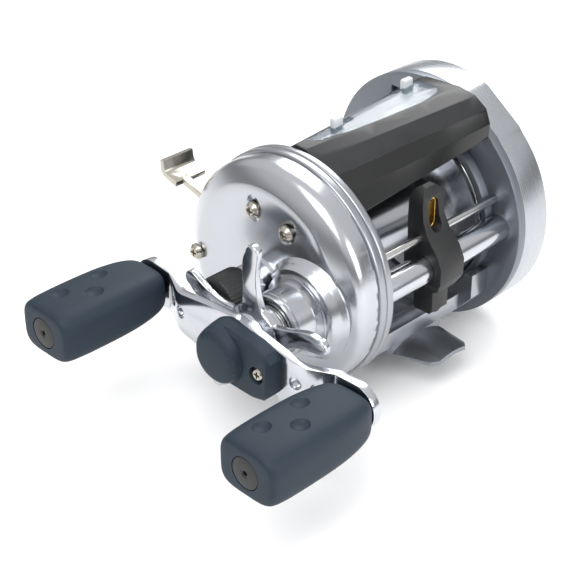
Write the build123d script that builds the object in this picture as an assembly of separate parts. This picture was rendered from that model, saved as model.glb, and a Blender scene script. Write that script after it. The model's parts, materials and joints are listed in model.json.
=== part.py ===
from build123d import *
import math
import os

# Baitcasting reel with a line counter. Millimetres, +Z up, +X towards the far (gear train) side, -Y towards
# the rod tip, handle on the -X side. The origin is on the underside of the reel foot, below the middle of
# the spool. Everything is drawn about the spool axis and lifted by AXIS_HEIGHT when it is written.

# ---------------------------------------------------------------- driving dimensions
AXIS_HEIGHT = 23.3          # spool axis above the underside of the foot
BAY = 41.5                  # clear width between the two end frames
RING_R = 28.0               # handle-side frame ring, outside radius
RING_T = 4.0                # its width along the axis
RING_BORE = 21.2            # opening that the spool flange turns in
PLATE_R = 29.8              # far end frame, outside radius
PLATE_T = 2.5               # its thickness
BUMP_R = 27.0               # raised top of the far end frame, which carries the counter drive
BUMP_Y = 1.0
BUMP_Z = 5.3
FACET_ANGLE = 54.0          # flat on the far side's upper front, angle above forward
FACET_DIST = 30.0           # distance of that flat from the spool axis
CUP_R = 27.3                # handle-side cover, outside radius
CUP_WALL = 1.2
CUP_DEPTH = 8.9             # from the ring to the face
DOME = 1.5                  # rise of the shoulder up to the face
COVER_DEPTH = 8.2           # straight rim of the far cover
COVER_WALL = 1.3
COVER_DOME = 4.0            # rise of the far cover's end
FOOT_T = 2.0
FOOT_FRONT = 28.8           # foot tips from the spool axis, forward and back
FOOT_BACK = 31.0
FOOT_TIP_W = 12.4
FOOT_MID_W = 21.0
FOOT_ARCH_R = 19.0          # crosswise curve of the foot's tips
BAR_T = 4.1                 # lower cross bars, height
BAR_W = 4.5
BAR_Y = 13.0                # inside face of each lower bar from the spool axis
GUSSET_W = 5.6
GUSSET_OUT = 21.4           # outer face of each gusset from the spool axis
GUSSET_TOP = -10.5          # just under the line guide, which passes over the front one
GUSSET_LOW = -16.8
REAR_BAR_R = 2.0            # round pillar at the back
REAR_BAR_Y = 24.2
REAR_BAR_Z = -4.0
RIVETS_X = (-6.5, 6.5)
RIVET_R = 1.1
SCREW_BORE_R = 0.95
COUNTER_SCREW_BORE_R = 0.8
STUD_R = 1.0                # idler gear studs
SPOOL_R = 20.0
SHROUD_R = SPOOL_R + 2.0
SPOOL_GAP = 0.85            # between a flange and its end frame
FLANGE_T = 1.6
ARBOR_R = 9.0
HUB_R = 4.0                 # spool hub inside its end recesses
SHAFT_R = 1.5               # spool shaft in its bearings
PINION_SHAFT_R = 1.0        # and where the pinion runs on it
GEAR_SEAT_R = 1.2           # and where its gear sits
BEARING_R = 4.5
BEARING_T = 2.2
RUN = 0.05                  # running clearance, radial
GEAR_CLEAR = 0.35           # clearance beside gears and moving plates

MODULE_DRIVE = 0.4
MAIN_TEETH = 58
PINION_TEETH = 11
DRIVE_DROP = 1.2            # handle axis below the spool axis
MODULE_TRAIN = 0.5
SPOOL_TEETH = 14
IDLER_BIG = 44
IDLER_SMALL = 22
WORM_TEETH = 15
COUNTER_IDLER_TEETH = 42
COUNTER_TEETH = 12
TRAIN_T = 1.6               # face width of the train gears
PRESSURE = math.radians(25)
ADDENDUM = 0.8
DEDENDUM = 1.1
BACKLASH = 0.10

TUBE_R = 3.4                # level-wind tube
TUBE_BORE = 2.6
TUBE_Y = -23.6
TUBE_Z = 1.5
WORM_R = 2.2
WORM_PIVOT_R = 1.2
WORM_PITCH = 3.6
ROD_R = 1.0                 # guide rod above it
ROD_Y = -22.0
ROD_Z = 8.6
GUIDE_W = 8.0
GUIDE_X = -2.45             # where the guide stands at rest

SHAFT_D_R = 3.0             # handle shaft
SHAFT_END_R = 2.4           # its threaded end, under the handle nut
SLEEVE_R = 5.2              # clutch sleeve round it
BUSH_R = 7.5                # polished barrel round the sleeve
BUSH_END = 19.5             # its end, from the handle-side ring's outer face
BULGE_R = 12.6              # raised gear case round the handle axis
BULGE_H = 2.6
CAP_R = 6.1                 # cast-control cap
CAP_LEN = 7.6
CAP_START = 15.3            # from the ring's outer face
COLLAR_R = 5.4
SCALLOP_R = 7.4             # hollow in the gear case round the cast-control cap
BUSH_SEAT_R = 6.8           # hole in the gear case that the barrel seats in
SPIGOT_R = 4.4
STAR_R = 22.3
STAR_T = 1.7
STAR_ROLL = 18.2            # first arm above forward, at rest
HANDLE_TILT = 2.3           # rear knob this much above the front one, in degrees
STAR_ARMS = 5
BLADE_T = 2.0
BLADE_W = 14.0              # across the middle of the handle
BLADE_END_W = 10.4
BLADE_OUT = 28.1            # handle middle, from the ring's outer face
BLADE_DROP = 3.7            # the knob ends stand this much nearer the reel
BLADE_HOLES = ((17.6, 1.5), (21.8, 1.1))
LOCK_SCREW = 10.3           # nut cover's screw from the handle axis
KNOB_SPACING = 62.0
KNOB_LEN = 29.8
KNOB_W = 16.4
KNOB_T = 12.6
NUT_SCREW_SEAT = 2.4        # lock screw's head above the blade
KNOB_ROOT_W = 11.0
KNOB_CAP_R = 3.55
SPINDLE_R = 1.6

LENS_T = 0.9
COUNTER_WALL = 1.1
WHEEL_R = 2.15
WHEEL_W = 3.6
COUNTER_Y = -4.2
COUNTER_Z = 27.05
COUNTER_X0 = 2.5            # bracket end of the counter shaft
COUNTER_SHAFT_R = 1.1
COUNTER_SHAFT_GAP = 0.15    # round that shaft in its bores
COUNTER_RELIEF = 0.25       # round its gear, inside the far cover
RESET_R = 1.25              # reset button
RESET_X = 14.6
RESET_Z = 27.9
YOKE_PIN_R = 0.8
YOKE_PIN_Z = 8.0
PINION_NECK_R = 1.7         # groove that the yoke holds
CAP_RIBS = 40
CLICK_C = (14.0, -2.0)      # middle of the clicker button's slot
CLICK_R = 1.4
CLICK_TRAVEL = 4.2

# ---------------------------------------------------------------- derived places
RING_IN = -BAY / 2
RING_OUT = RING_IN - RING_T
PLATE_IN = BAY / 2
PLATE_OUT = PLATE_IN + PLATE_T
CUP_FACE = RING_OUT - CUP_DEPTH
FOOT_TOP = -AXIS_HEIGHT + FOOT_T
DRIVE_DIST = MODULE_DRIVE * (MAIN_TEETH + PINION_TEETH) / 2
DRIVE_Y = -math.sqrt(DRIVE_DIST ** 2 - DRIVE_DROP ** 2)
DRIVE_Z = -DRIVE_DROP
BULGE_X = CUP_FACE - BULGE_H
FACE_SEAT = CUP_FACE + 0.5
COLLAR_END = RING_OUT - CAP_START
SPIGOT_END = COLLAR_END - 5.2
COVER_IN = PLATE_OUT
COVER_EDGE = COVER_IN + COVER_DEPTH
SPOOL_END = PLATE_IN - SPOOL_GAP
TRAIN_1 = PLATE_OUT + 0.75          # small idler gear and worm gear
TRAIN_2 = TRAIN_1 + TRAIN_T + 0.4   # spool gear and big idler gear
TRAIN_3 = TRAIN_2 + TRAIN_T + 0.3   # counter idler and counter gear
TRAIN_END = TRAIN_3 + TRAIN_T
COUNTER_TIP_R = MODULE_TRAIN * (COUNTER_TEETH / 2 + ADDENDUM)
GEAR_X = RING_OUT - 1.85            # inner face of the main gear
GEAR_T = 2.2
BUSH_FACE = RING_OUT - BUSH_END
CAP_FACE = COLLAR_END - CAP_LEN
STAR_X = CAP_FACE - GEAR_CLEAR
BLADE_X = RING_OUT - BLADE_OUT
STAR_END = BLADE_X + 0.9
BLADE_END_X = BLADE_X + BLADE_DROP
KNOB_X = BLADE_END_X - BLADE_T - 0.35


# ---------------------------------------------------------------- shape helpers
def bar_x(x0, x1, radius, y=0.0, z=0.0):
    """A round bar along X."""
    return Pos((x0 + x1) / 2, y, z) * Rot(0, 90, 0) * Cylinder(radius, abs(x1 - x0))


def tube_x(x0, x1, outer, inner, y=0.0, z=0.0):
    """A round tube along X."""
    low = min(x0, x1)
    high = max(x0, x1)
    return bar_x(low, high, outer, y, z) - bar_x(low - 1, high + 1, inner, y, z)


def box(x0, x1, y0, y1, z0, z1):
    """A box between two corners."""
    return Pos((x0 + x1) / 2, (y0 + y1) / 2, (z0 + z1) / 2) * Box(abs(x1 - x0), abs(y1 - y0), abs(z1 - z0))


def turned(profile, y=0.0, z=0.0):
    """A solid turned about a line along X from (x, radius) points."""
    face = make_face(Polyline(*[(x, r, 0) for x, r in profile], close=True))
    return Pos(0, y, z) * revolve(face, Axis.X, 360)


def prism_x(points, x0, x1):
    """A prism along X from (y, z) points."""
    face = make_face(Polyline(*[(x0, y, z) for y, z in points], close=True))
    return extrude(face, amount=abs(x1 - x0), dir=(1 if x1 > x0 else -1, 0, 0))


def slot_z(x, y, z0, z1, length, width):
    """A round-ended slot along X, cut through in Z."""
    half = (length - width) / 2
    middle = (z0 + z1) / 2
    ends = [Pos(x + side * half, y, middle) * Cylinder(width / 2, abs(z1 - z0)) for side in (-1, 1)]
    return box(x - half, x + half, y - width / 2, y + width / 2, z0, z1) + ends[0] + ends[1]


def involute(angle):
    return math.tan(angle) - angle


def gear_points(teeth, module, phase):
    """Outline of a spur gear; phase is the angle of one tooth's middle."""
    pitch_r = teeth * module / 2
    base_r = pitch_r * math.cos(PRESSURE)
    tip_r = pitch_r + ADDENDUM * module
    root_r = pitch_r - DEDENDUM * module
    start_r = max(base_r, root_r)
    half_pitch = math.pi / (2 * teeth) - BACKLASH / (4 * pitch_r)
    radii = [start_r + (tip_r - start_r) * i / 4 for i in range(5)]
    halves = [half_pitch + involute(PRESSURE) - involute(math.acos(min(1, base_r / r))) for r in radii]
    points = []
    for tooth in range(teeth):
        middle = phase + 2 * math.pi * tooth / teeth
        flank = [(root_r, halves[0])] if root_r < start_r - 1e-6 else []
        flank += list(zip(radii, halves))
        for r, half in flank:
            points.append((r * math.cos(middle - half), r * math.sin(middle - half)))
        for r, half in reversed(flank):
            points.append((r * math.cos(middle + half), r * math.sin(middle + half)))
    return points


def gear(teeth, module, phase, x0, x1, y=0.0, z=0.0):
    """A spur gear along X."""
    return Pos(0, y, z) * prism_x(gear_points(teeth, module, phase), x0, x1)


def mesh_phase(teeth_a, phase_a, centre_a, teeth_b, centre_b):
    """The phase that puts gear b in mesh with gear a."""
    line = math.atan2(centre_b[1] - centre_a[1], centre_b[0] - centre_a[0])
    share = ((line - phase_a) * teeth_a / (2 * math.pi)) % 1.0
    return line + math.pi + (share + 0.5) * 2 * math.pi / teeth_b


def circle_meet(centre_a, radius_a, centre_b, radius_b, side):
    """The point at radius_a from a and radius_b from b, on the given side of the line between them."""
    dy = centre_b[0] - centre_a[0]
    dz = centre_b[1] - centre_a[1]
    gap = math.hypot(dy, dz)
    along = (radius_a ** 2 - radius_b ** 2 + gap ** 2) / (2 * gap)
    across = side * math.sqrt(max(0.0, radius_a ** 2 - along ** 2))
    return (centre_a[0] + (along * dy - across * dz) / gap, centre_a[1] + (along * dz + across * dy) / gap)


def polar(radius, degrees, y=0.0, z=0.0):
    """A (y, z) point; zero degrees is forward (-Y) and the angle rises towards +Z."""
    angle = math.radians(degrees)
    return (y - radius * math.cos(angle), z + radius * math.sin(angle))


def on_circle(radius, degrees_list, y=0.0, z=0.0):
    return [polar(radius, degrees, y, z) for degrees in degrees_list]


def pan_screw(x_seat, head_r, head_h, shank_r, shank_len, y, z, way):
    """A cross-recess pan screw along X; way is the direction the head stands out."""
    top = x_seat + way * head_h
    rim = x_seat + way * head_h * 0.45
    head = turned([(x_seat, 0), (x_seat, head_r), (rim, head_r), (top, head_r * 0.62), (top, 0)], y, z)
    screw = head + bar_x(x_seat - way * shank_len, x_seat, shank_r, y, z)
    for wide, tall in ((head_r * 0.95, head_r * 0.26), (head_r * 0.26, head_r * 0.95)):
        depth = x_seat + way * head_h * 0.35
        screw -= box(min(depth, top + way), max(depth, top + way), y - wide / 2, y + wide / 2,
                     z - tall / 2, z + tall / 2)
    return screw


def save(name, shape):
    """Lift a piece to the height of the spool axis and write it."""
    export_step(Pos(0, 0, AXIS_HEIGHT) * shape, os.path.join("parts", name + ".step"))


os.makedirs("parts", exist_ok=True)

# ---------------------------------------------------------------- fixed points of the mechanism
SPOOL_C = (0.0, 0.0)
DRIVE_C = (DRIVE_Y, DRIVE_Z)
WORM_C = (TUBE_Y, TUBE_Z)
COUNTER_C = (COUNTER_Y, COUNTER_Z)
IDLER_C = circle_meet(SPOOL_C, MODULE_TRAIN * (SPOOL_TEETH + IDLER_BIG) / 2,
                      WORM_C, MODULE_TRAIN * (IDLER_SMALL + WORM_TEETH) / 2, -1)
CIDLER_C = circle_meet(SPOOL_C, MODULE_TRAIN * (SPOOL_TEETH + COUNTER_IDLER_TEETH) / 2,
                       COUNTER_C, MODULE_TRAIN * (COUNTER_IDLER_TEETH + COUNTER_TEETH) / 2, 1)
FACE_SCREWS = on_circle(18.0, (96, 62), 1.0, -1.0) + [polar(22.3, 184)]
LEFT_SCREWS = on_circle(25.6, (45, 150, 262))
COUNTER_SCREWS = ((-13.5, 22.3), (1.6, 25.4))


# ---------------------------------------------------------------- frame and foot
def far_outline(inset=0.0, x0=0.0, x1=1.0):
    """The far end's outline: a round plate with a raised top and a flat at the upper front."""
    low = bar_x(x0, x1, PLATE_R - inset)
    high = bar_x(x0, x1, BUMP_R - inset, BUMP_Y, BUMP_Z)
    normal = math.radians(FACET_ANGLE)
    far = FACET_DIST - inset
    reach = 2 * PLATE_R
    ny, nz = -math.cos(normal), math.sin(normal)
    ty, tz = -nz, ny
    corners = [(far * ny + way * reach * ty, far * nz + way * reach * tz) for way in (1, -1)]
    corners += [(y + reach * ny, z + reach * nz) for y, z in reversed(corners)]
    return low + high - prism_x(corners, x0 - 1, x1 + 1)


def make_ring():
    """Handle-side frame ring, with two fine ridges round its rim."""
    ring = turned([(RING_OUT, RING_BORE), (RING_OUT, RING_R - 0.6), (RING_OUT + 0.35, RING_R - 0.1),
                   (RING_OUT + 1.45, RING_R - 0.1), (RING_OUT + 1.8, RING_R - 0.6),
                   (RING_OUT + 2.15, RING_R), (RING_IN - 0.35, RING_R),
                   (RING_IN, RING_R - 0.4), (RING_IN, RING_BORE)])
    ring -= bar_x(RING_OUT - 1, RING_IN + 1, TUBE_R, TUBE_Y, TUBE_Z)
    return ring - bar_x(RING_IN - 2.5, RING_IN + 1, ROD_R, ROD_Y, ROD_Z)


def make_far_plate():
    """Far end frame, with the shroud that the spool flange turns in."""
    plate = far_outline(0.0, PLATE_IN, PLATE_OUT)
    plate += tube_x(PLATE_IN - 2.4, PLATE_IN + 0.5, SHROUD_R, SPOOL_R + 0.6)
    plate -= bar_x(PLATE_IN - 3, PLATE_OUT + 1, TUBE_R, TUBE_Y, TUBE_Z)
    plate -= bar_x(PLATE_IN - 3, PLATE_IN + 2, ROD_R, ROD_Y, ROD_Z)
    plate -= bar_x(PLATE_IN - 1, PLATE_OUT + 1, BEARING_R)
    plate -= bar_x(PLATE_IN - 1, PLATE_OUT + 1, COUNTER_SHAFT_R + COUNTER_SHAFT_GAP, *COUNTER_C)
    plate -= bar_x(PLATE_OUT - 1.6, PLATE_OUT + 1, STUD_R, *IDLER_C)
    plate -= bar_x(PLATE_OUT - 1.6, PLATE_OUT + 1, STUD_R, *CIDLER_C)
    for y, z in LEFT_SCREWS:
        plate -= bar_x(PLATE_IN + 0.6, PLATE_OUT + 1, SCREW_BORE_R, y, z)
    for y, z in COUNTER_SCREWS:
        plate -= bar_x(PLATE_IN - 1, PLATE_OUT + 1, COUNTER_SCREW_BORE_R, y, z)
    return plate - rear_slot(0.6)


def make_lower_bar(side):
    """One of the two bars that the foot is riveted to, with its gusset at the far plate."""
    low = FOOT_TOP
    y0 = side * BAR_Y
    y1 = side * (BAR_Y + BAR_W)
    bar = box(RING_IN, PLATE_IN, min(y0, y1), max(y0, y1), low, low + BAR_T)
    gusset = [(GUSSET_OUT, GUSSET_TOP), (GUSSET_OUT - 2.8, GUSSET_TOP), (BAR_Y + 0.6, low + BAR_T),
              (BAR_Y, low), (BAR_Y + BAR_W, low), (GUSSET_OUT, GUSSET_LOW)]
    points = [(side * y, z) for y, z in gusset]
    bar += prism_x(points, PLATE_IN - GUSSET_W, PLATE_IN)
    bar -= bar_x(PLATE_IN - GUSSET_W - 1, PLATE_IN + 1, SHROUD_R + 0.02)
    for x in RIVETS_X:
        bar -= Pos(x, side * (BAR_Y + BAR_W / 2), low) * Cylinder(RIVET_R, 2.4)
    return bar


def make_rear_bar():
    """The round pillar at the back, under the thumb."""
    return bar_x(RING_IN, PLATE_IN, REAR_BAR_R, REAR_BAR_Y, REAR_BAR_Z)


def rear_slot(extra):
    """The window at the top back of the far plate, beside the counter."""
    middle = polar(27.6, 106)
    return box(PLATE_IN - 1, PLATE_OUT - extra, middle[0] - 1.2, middle[0] + 3.6, middle[1] - 1.0,
               middle[1] + 0.6)


def make_foot():
    """A tapered foot, arched across so that it beds on a round rod seat."""
    half_tip = FOOT_TIP_W / 2
    half_mid = FOOT_MID_W / 2
    outline = [(-half_mid, -BAR_Y + 2), (-half_tip - 1.2, -FOOT_FRONT + 7), (-half_tip, -FOOT_FRONT + 1.6),
               (-half_tip + 1.6, -FOOT_FRONT), (half_tip - 1.6, -FOOT_FRONT), (half_tip, -FOOT_FRONT + 1.6),
               (half_tip + 1.2, -FOOT_FRONT + 7), (half_mid, -BAR_Y + 2), (half_mid, BAR_Y - 2),
               (half_tip + 1.2, FOOT_BACK - 8), (half_tip, FOOT_BACK - 1.6), (half_tip - 1.6, FOOT_BACK),
               (-half_tip + 1.6, FOOT_BACK), (-half_tip, FOOT_BACK - 1.6), (-half_tip - 1.2, FOOT_BACK - 8),
               (-half_mid, BAR_Y - 2)]
    plate = extrude(make_face(Polyline(*[(x, y, -AXIS_HEIGHT) for x, y in outline], close=True)),
                    amount=FOOT_T, dir=(0, 0, 1))
    arch = Pos(0, 0, FOOT_TOP - FOOT_ARCH_R) * Rot(90, 0, 0) * Cylinder(FOOT_ARCH_R, 4 * FOOT_BACK)
    groove = Pos(0, 0, -FOOT_T + 0.9) * arch
    middle = box(-half_mid, half_mid, -BAR_Y - BAR_W, BAR_Y + BAR_W, -AXIS_HEIGHT, FOOT_TOP)
    foot = ((plate & arch) - groove) + (plate & middle)
    for x in RIVETS_X:
        for side in (-1, 1):
            foot -= Pos(x, side * (BAR_Y + BAR_W / 2), FOOT_TOP) * Cylinder(RIVET_R, 3 * FOOT_T)
    return foot


def make_foot_rivets():
    rivets = []
    for x in RIVETS_X:
        for side in (-1, 1):
            middle = Pos(x, side * (BAR_Y + BAR_W / 2), FOOT_TOP + 0.1)
            rivets.append(middle * Cylinder(RIVET_R, 2.2))
    return Compound(rivets)


# ---------------------------------------------------------------- handle side
def cup_profile(inset):
    """Half outline of the handle-side cover, from its mouth round the shoulder to its flat face."""
    edge = CUP_R - inset
    face = CUP_FACE + inset
    return [(RING_OUT - 3.4, edge), (RING_OUT - 4.6, edge - 0.35), (RING_OUT - 5.6, edge - 1.1),
            (face + DOME, CUP_R - 2.7 - inset), (face, CUP_R - 4.1 - inset), (face, 0)]


def make_handle_cover():
    """The polished cup over the gears, with a raised gear case and a recess for the cast-control cap."""
    cover = turned([(RING_OUT, 0), (RING_OUT, CUP_R)] + cup_profile(0.0))
    cover -= turned([(RING_OUT + 1, 0), (RING_OUT + 1, CUP_R - CUP_WALL)] + cup_profile(CUP_WALL))
    hood = bar_x(BULGE_X, CUP_FACE + 3.0, BULGE_R, *DRIVE_C)
    hood = chamfer(hood.faces().sort_by(Axis.X)[0].edges(), 0.9)
    hood = (hood & bar_x(BULGE_X - 1, RING_OUT, CUP_R - 1.3)) - bar_x(BULGE_X - 1, RING_OUT, SCALLOP_R)
    cover += hood
    cover += bar_x(COLLAR_END, CUP_FACE + 0.6, COLLAR_R)
    cover += bar_x(SPIGOT_END, COLLAR_END + 0.4, SPIGOT_R)
    cover -= bar_x(SPIGOT_END - 1, CUP_FACE + 2.1, SPIGOT_R - 1.2)
    cover -= bar_x(BULGE_X - 2, CUP_FACE + 5, BUSH_SEAT_R, *DRIVE_C)
    for y, z in FACE_SCREWS:
        cover -= bar_x(FACE_SEAT, FACE_SEAT - 5, 2.3, y, z)
        cover -= bar_x(FACE_SEAT - 1, FACE_SEAT + 3, SCREW_BORE_R, y, z)
    return cover - tab_window()


def tab_window():
    """The slot in the back of the cup that the thumb tab moves in."""
    return box(RING_OUT - 4.2, RING_OUT + 0.01, 20.5, CUP_R + 2, 3.5, 15.5)


def make_gear_plate():
    """The bridge plate inside the cup: it carries the gear shaft, the yoke pins and a spool bearing."""
    thick = 1.3
    plate = bar_x(RING_OUT, RING_OUT - thick, CUP_R - CUP_WALL - 0.05)
    plate += bar_x(RING_IN - 1.4, RING_OUT - 0.1, BEARING_R + 1.3)
    plate -= bar_x(RING_IN, RING_OUT - 0.3, BEARING_R)
    plate -= bar_x(RING_IN, RING_OUT - 3, 3.0)
    plate -= bar_x(RING_IN, RING_OUT - 3, SHAFT_D_R + RUN, *DRIVE_C)
    for side in (-1, 1):
        plate += bar_x(RING_OUT - thick, CUP_FACE + CUP_WALL + 0.3, YOKE_PIN_R, 0.0, side * YOKE_PIN_Z)
    for y, z in FACE_SCREWS:
        post = CUP_FACE + CUP_WALL + 0.05
        plate += bar_x(RING_OUT - thick + 0.1, post, 1.9, y, z)
        plate -= bar_x(RING_OUT - 2, post - 1, SCREW_BORE_R, y, z)
    return plate & turned([(RING_IN, 0), (RING_IN, CUP_R - CUP_WALL - 0.03)] + cup_profile(CUP_WALL + 0.03))


def make_face_screws():
    return Compound([pan_screw(FACE_SEAT, 1.95, 1.4, 0.85, 2.9, y, z, -1) for y, z in FACE_SCREWS])


def make_drive_bushing():
    """The polished barrel that the handle shaft's sleeve turns in."""
    end = BUSH_FACE
    profile = [(BULGE_X + 2.4, 5.6), (BULGE_X + 2.4, BUSH_SEAT_R), (BULGE_X, BUSH_SEAT_R), (BULGE_X, 9.2),
               (BULGE_X - 0.5, 9.2), (BULGE_X - 0.75, 8.7), (BULGE_X - 1.1, 8.9), (BULGE_X - 1.5, 8.3),
               (BULGE_X - 1.7, BUSH_R), (end + 1.3, BUSH_R), (end + 1.1, BUSH_R - 0.3), (end + 0.9, BUSH_R),
               (end + 0.25, BUSH_R), (end, BUSH_R - 0.3), (end, 5.5), (end + 1.2, 5.5), (end + 1.2, 6.4),
               (BULGE_X - 0.6, 6.4), (BULGE_X - 0.6, 5.6)]
    return turned(profile, *DRIVE_C) - bar_x(end - 1, BULGE_X + 0.01, CAP_R + 0.25)


def make_roller_clutch():
    """One-way roller bearing: a thin shell with rollers showing on its inner face."""
    end = BUSH_FACE
    return tube_x(end + 1.4, BULGE_X - 0.8, 6.35, SLEEVE_R + RUN, *DRIVE_C)


# ---------------------------------------------------------------- crank assembly
def make_drive_shaft():
    shaft = bar_x(RING_OUT + 0.9, BLADE_X + 0.3, SHAFT_D_R, *DRIVE_C)
    shaft += bar_x(BLADE_X + 0.3, BLADE_X - BLADE_T - 3.2, SHAFT_END_R, *DRIVE_C)
    shaft += bar_x(RING_OUT - 1.4, GEAR_X + 0.1, 5.2, *DRIVE_C)
    return shaft


def make_main_gear():
    wheel = gear(MAIN_TEETH, MODULE_DRIVE, MAIN_PHASE, GEAR_X, GEAR_X - GEAR_T, *DRIVE_C)
    wheel -= bar_x(GEAR_X + 1, GEAR_X - GEAR_T - 1, SHAFT_D_R + RUN, *DRIVE_C)
    wheel -= tube_x(GEAR_X - 1.2, GEAR_X - GEAR_T - 1, 9.4, SHAFT_D_R + 1.2, *DRIVE_C)
    for k in range(6):
        y, z = polar(7.0, 60 * k, *DRIVE_C)
        wheel -= bar_x(GEAR_X + 1, GEAR_X - GEAR_T, 1.1, y, z)
    return wheel


def make_drag_stack():
    """Fibre and steel drag washers, seated in the main gear."""
    washers = []
    start = GEAR_X - 1.25
    for k in range(2):
        face = start - k * 0.85
        washers.append(tube_x(face, face - 0.8, 9.2, SHAFT_D_R + 1.4, *DRIVE_C))
    return Compound(washers)


def make_clutch_sleeve():
    """Pressure plate and sleeve in one: the star presses it on the drag washers."""
    start = GEAR_X - 1.25 - 2 * 0.85 - 0.05
    end = BUSH_FACE - 0.6
    profile = [(start, SHAFT_D_R + RUN), (start, 8.6), (start - 0.9, 8.6), (start - 1.1, SLEEVE_R),
               (end, SLEEVE_R), (end, SHAFT_D_R + RUN)]
    return turned(profile, *DRIVE_C)


def star_arm(degrees):
    """One curved arm of the star, drawn flat and turned to its place."""
    reach = STAR_R - 6.0
    spine = [(5.0, 0.0), (5.0 + reach * 0.25, 0.5), (5.0 + reach * 0.5, 0.9), (5.0 + reach * 0.8, 0.7),
             (STAR_R - 1.8, 0.0)]
    widths = [3.6, 2.5, 2.0, 2.1, 1.8]
    upper = [(0, -r, s + w) for (r, s), w in zip(spine, widths)]
    lower = [(0, -r, s - w) for (r, s), w in zip(spine, widths)]
    edge = Spline(*upper)
    back = Spline(*reversed(lower))
    tip = ThreePointArc(edge @ 1, (0, -STAR_R, 0), back @ 0)
    face = make_face(Curve() + [edge, tip, back, Line(back @ 1, edge @ 0)])
    arm = extrude(Pos(STAR_X - STAR_T, 0, 0) * face, amount=STAR_T, dir=(1, 0, 0))
    return Pos(0, *DRIVE_C) * Rot(-degrees, 0, 0) * arm


def make_star():
    x0 = BUSH_FACE - 0.8
    star = turned([(x0, SLEEVE_R - 2.1), (x0, 5.4), (x0 - 0.8, 6.4), (STAR_X, 6.4), (STAR_X, 8.0),
                   (STAR_X - STAR_T, 7.6), (STAR_X - STAR_T - 0.8, 5.8), (STAR_END, 5.0),
                   (STAR_END, SLEEVE_R - 2.1)], *DRIVE_C)
    for k in range(STAR_ARMS):
        star += star_arm(STAR_ROLL + 360 / STAR_ARMS * k)
    return star - bar_x(x0 + 1, STAR_END - 1, SHAFT_D_R + RUN, *DRIVE_C)


def blade_face():
    """Side view of the handle blade: a gull shape in X and Y, as a closed wire."""
    reach = KNOB_SPACING / 2 + BLADE_END_W / 2
    mid = BLADE_X
    end = BLADE_END_X
    line = [(mid, 0), (mid, 17.0), (mid + 0.4, 18.6), (end - 1.0, 23.2), (end - 0.15, 25.0), (end, 25.4),
            (end, reach)]
    inner = line + [(x - BLADE_T, r) for x, r in reversed(line)]
    near = [(x, DRIVE_Y - r, 0) for x, r in inner]
    far = [(x, DRIVE_Y + r, 0) for x, r in inner]
    return make_face(Polyline(*near, close=True)), make_face(Polyline(*far, close=True))


def blade_outline():
    """Front view of the blade along X: wide at the middle, round at the knobs."""
    half = BLADE_W / 2
    end = BLADE_END_W / 2
    arm = KNOB_SPACING / 2
    x0 = BLADE_X - 12
    x1 = BLADE_END_X + 12
    shape = bar_x(x0, x1, half + 0.4, *DRIVE_C)
    for side in (-1, 1):
        shape += bar_x(x0, x1, end, DRIVE_Y + side * arm, DRIVE_Z)
        web = [(0, half + 0.3), (side * 8, half - 0.6), (side * 20, end - 0.8), (side * arm, end),
               (side * arm, -end), (side * 20, -end + 0.8), (side * 8, -half + 0.6), (0, -half - 0.3)]
        shape += prism_x([(DRIVE_Y + y, DRIVE_Z + z) for y, z in web], x0, x1)
    return shape


def make_blade():
    near, far = blade_face()
    slab = extrude(near, amount=20, dir=(0, 0, 1), both=True)
    slab += extrude(far, amount=20, dir=(0, 0, 1), both=True)
    blade = Pos(0, 0, DRIVE_Z) * slab & blade_outline()
    blade -= bar_x(BLADE_X + 3, BLADE_X - 5, SHAFT_END_R, *DRIVE_C)
    for side in (-1, 1):
        knob_y = DRIVE_Y + side * KNOB_SPACING / 2
        blade -= bar_x(BLADE_END_X + 3, BLADE_END_X - 5, SPINDLE_R, knob_y, DRIVE_Z)
        for reach, hole in BLADE_HOLES:
            blade -= bar_x(BLADE_X - 8, BLADE_END_X + 8, hole, DRIVE_Y + side * reach, DRIVE_Z)
    blade -= bar_x(BLADE_X + 3, BLADE_X - 5, 0.8, DRIVE_Y - LOCK_SCREW, DRIVE_Z)
    return tilted(blade)


def tilted(shape):
    """Turn a handle piece about the handle axis to where it stands at rest."""
    return Pos(0, *DRIVE_C) * Rot(HANDLE_TILT, 0, 0) * Pos(0, -DRIVE_Y, -DRIVE_Z) * shape


def make_handle_nut():
    x0 = BLADE_X - BLADE_T
    points = on_circle(4.0, [60 * k for k in range(6)], *DRIVE_C)
    return prism_x(points, x0 - 3.0, x0) - bar_x(x0 + 1, x0 - 5, SHAFT_END_R, *DRIVE_C)


def make_nut_cover():
    """Teardrop cover that locks the handle nut, with a tail for its screw."""
    x0 = BLADE_X - BLADE_T
    cover = turned([(x0, 0), (x0, 7.0), (x0 - 2.0, 6.8), (x0 - 4.2, 6.4), (x0 - 5.6, 5.9), (x0 - 6.3, 5.1),
                    (x0 - 6.5, 4.2), (x0 - 6.5, 0)], *DRIVE_C)
    tail = [(0, 6.9), (-9.0, 6.6), (-12.2, 5.7), (-13.7, 4.0), (-13.7, -4.0), (-12.2, -5.7), (-9.0, -6.6),
            (0, -6.9)]
    web = prism_x([(DRIVE_Y + y, DRIVE_Z + z) for y, z in tail], x0 - 3.8, x0)
    cover += chamfer(web.faces().sort_by(Axis.X)[0].edges(), 0.7)
    cover -= bar_x(x0 + 1, x0 - 3.5, 4.3, *DRIVE_C)
    cover -= bar_x(x0 - NUT_SCREW_SEAT, x0 - 7, 2.0, DRIVE_Y - LOCK_SCREW, DRIVE_Z)
    cover -= bar_x(x0 + 1, x0 - 7, SCREW_BORE_R - 0.1, DRIVE_Y - LOCK_SCREW, DRIVE_Z)
    return tilted(cover)


def make_nut_screw():
    seat = BLADE_X - BLADE_T - NUT_SCREW_SEAT
    return tilted(pan_screw(seat, 1.75, 1.2, 0.8, NUT_SCREW_SEAT + 1.6, DRIVE_Y - LOCK_SCREW, DRIVE_Z, -1))


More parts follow.
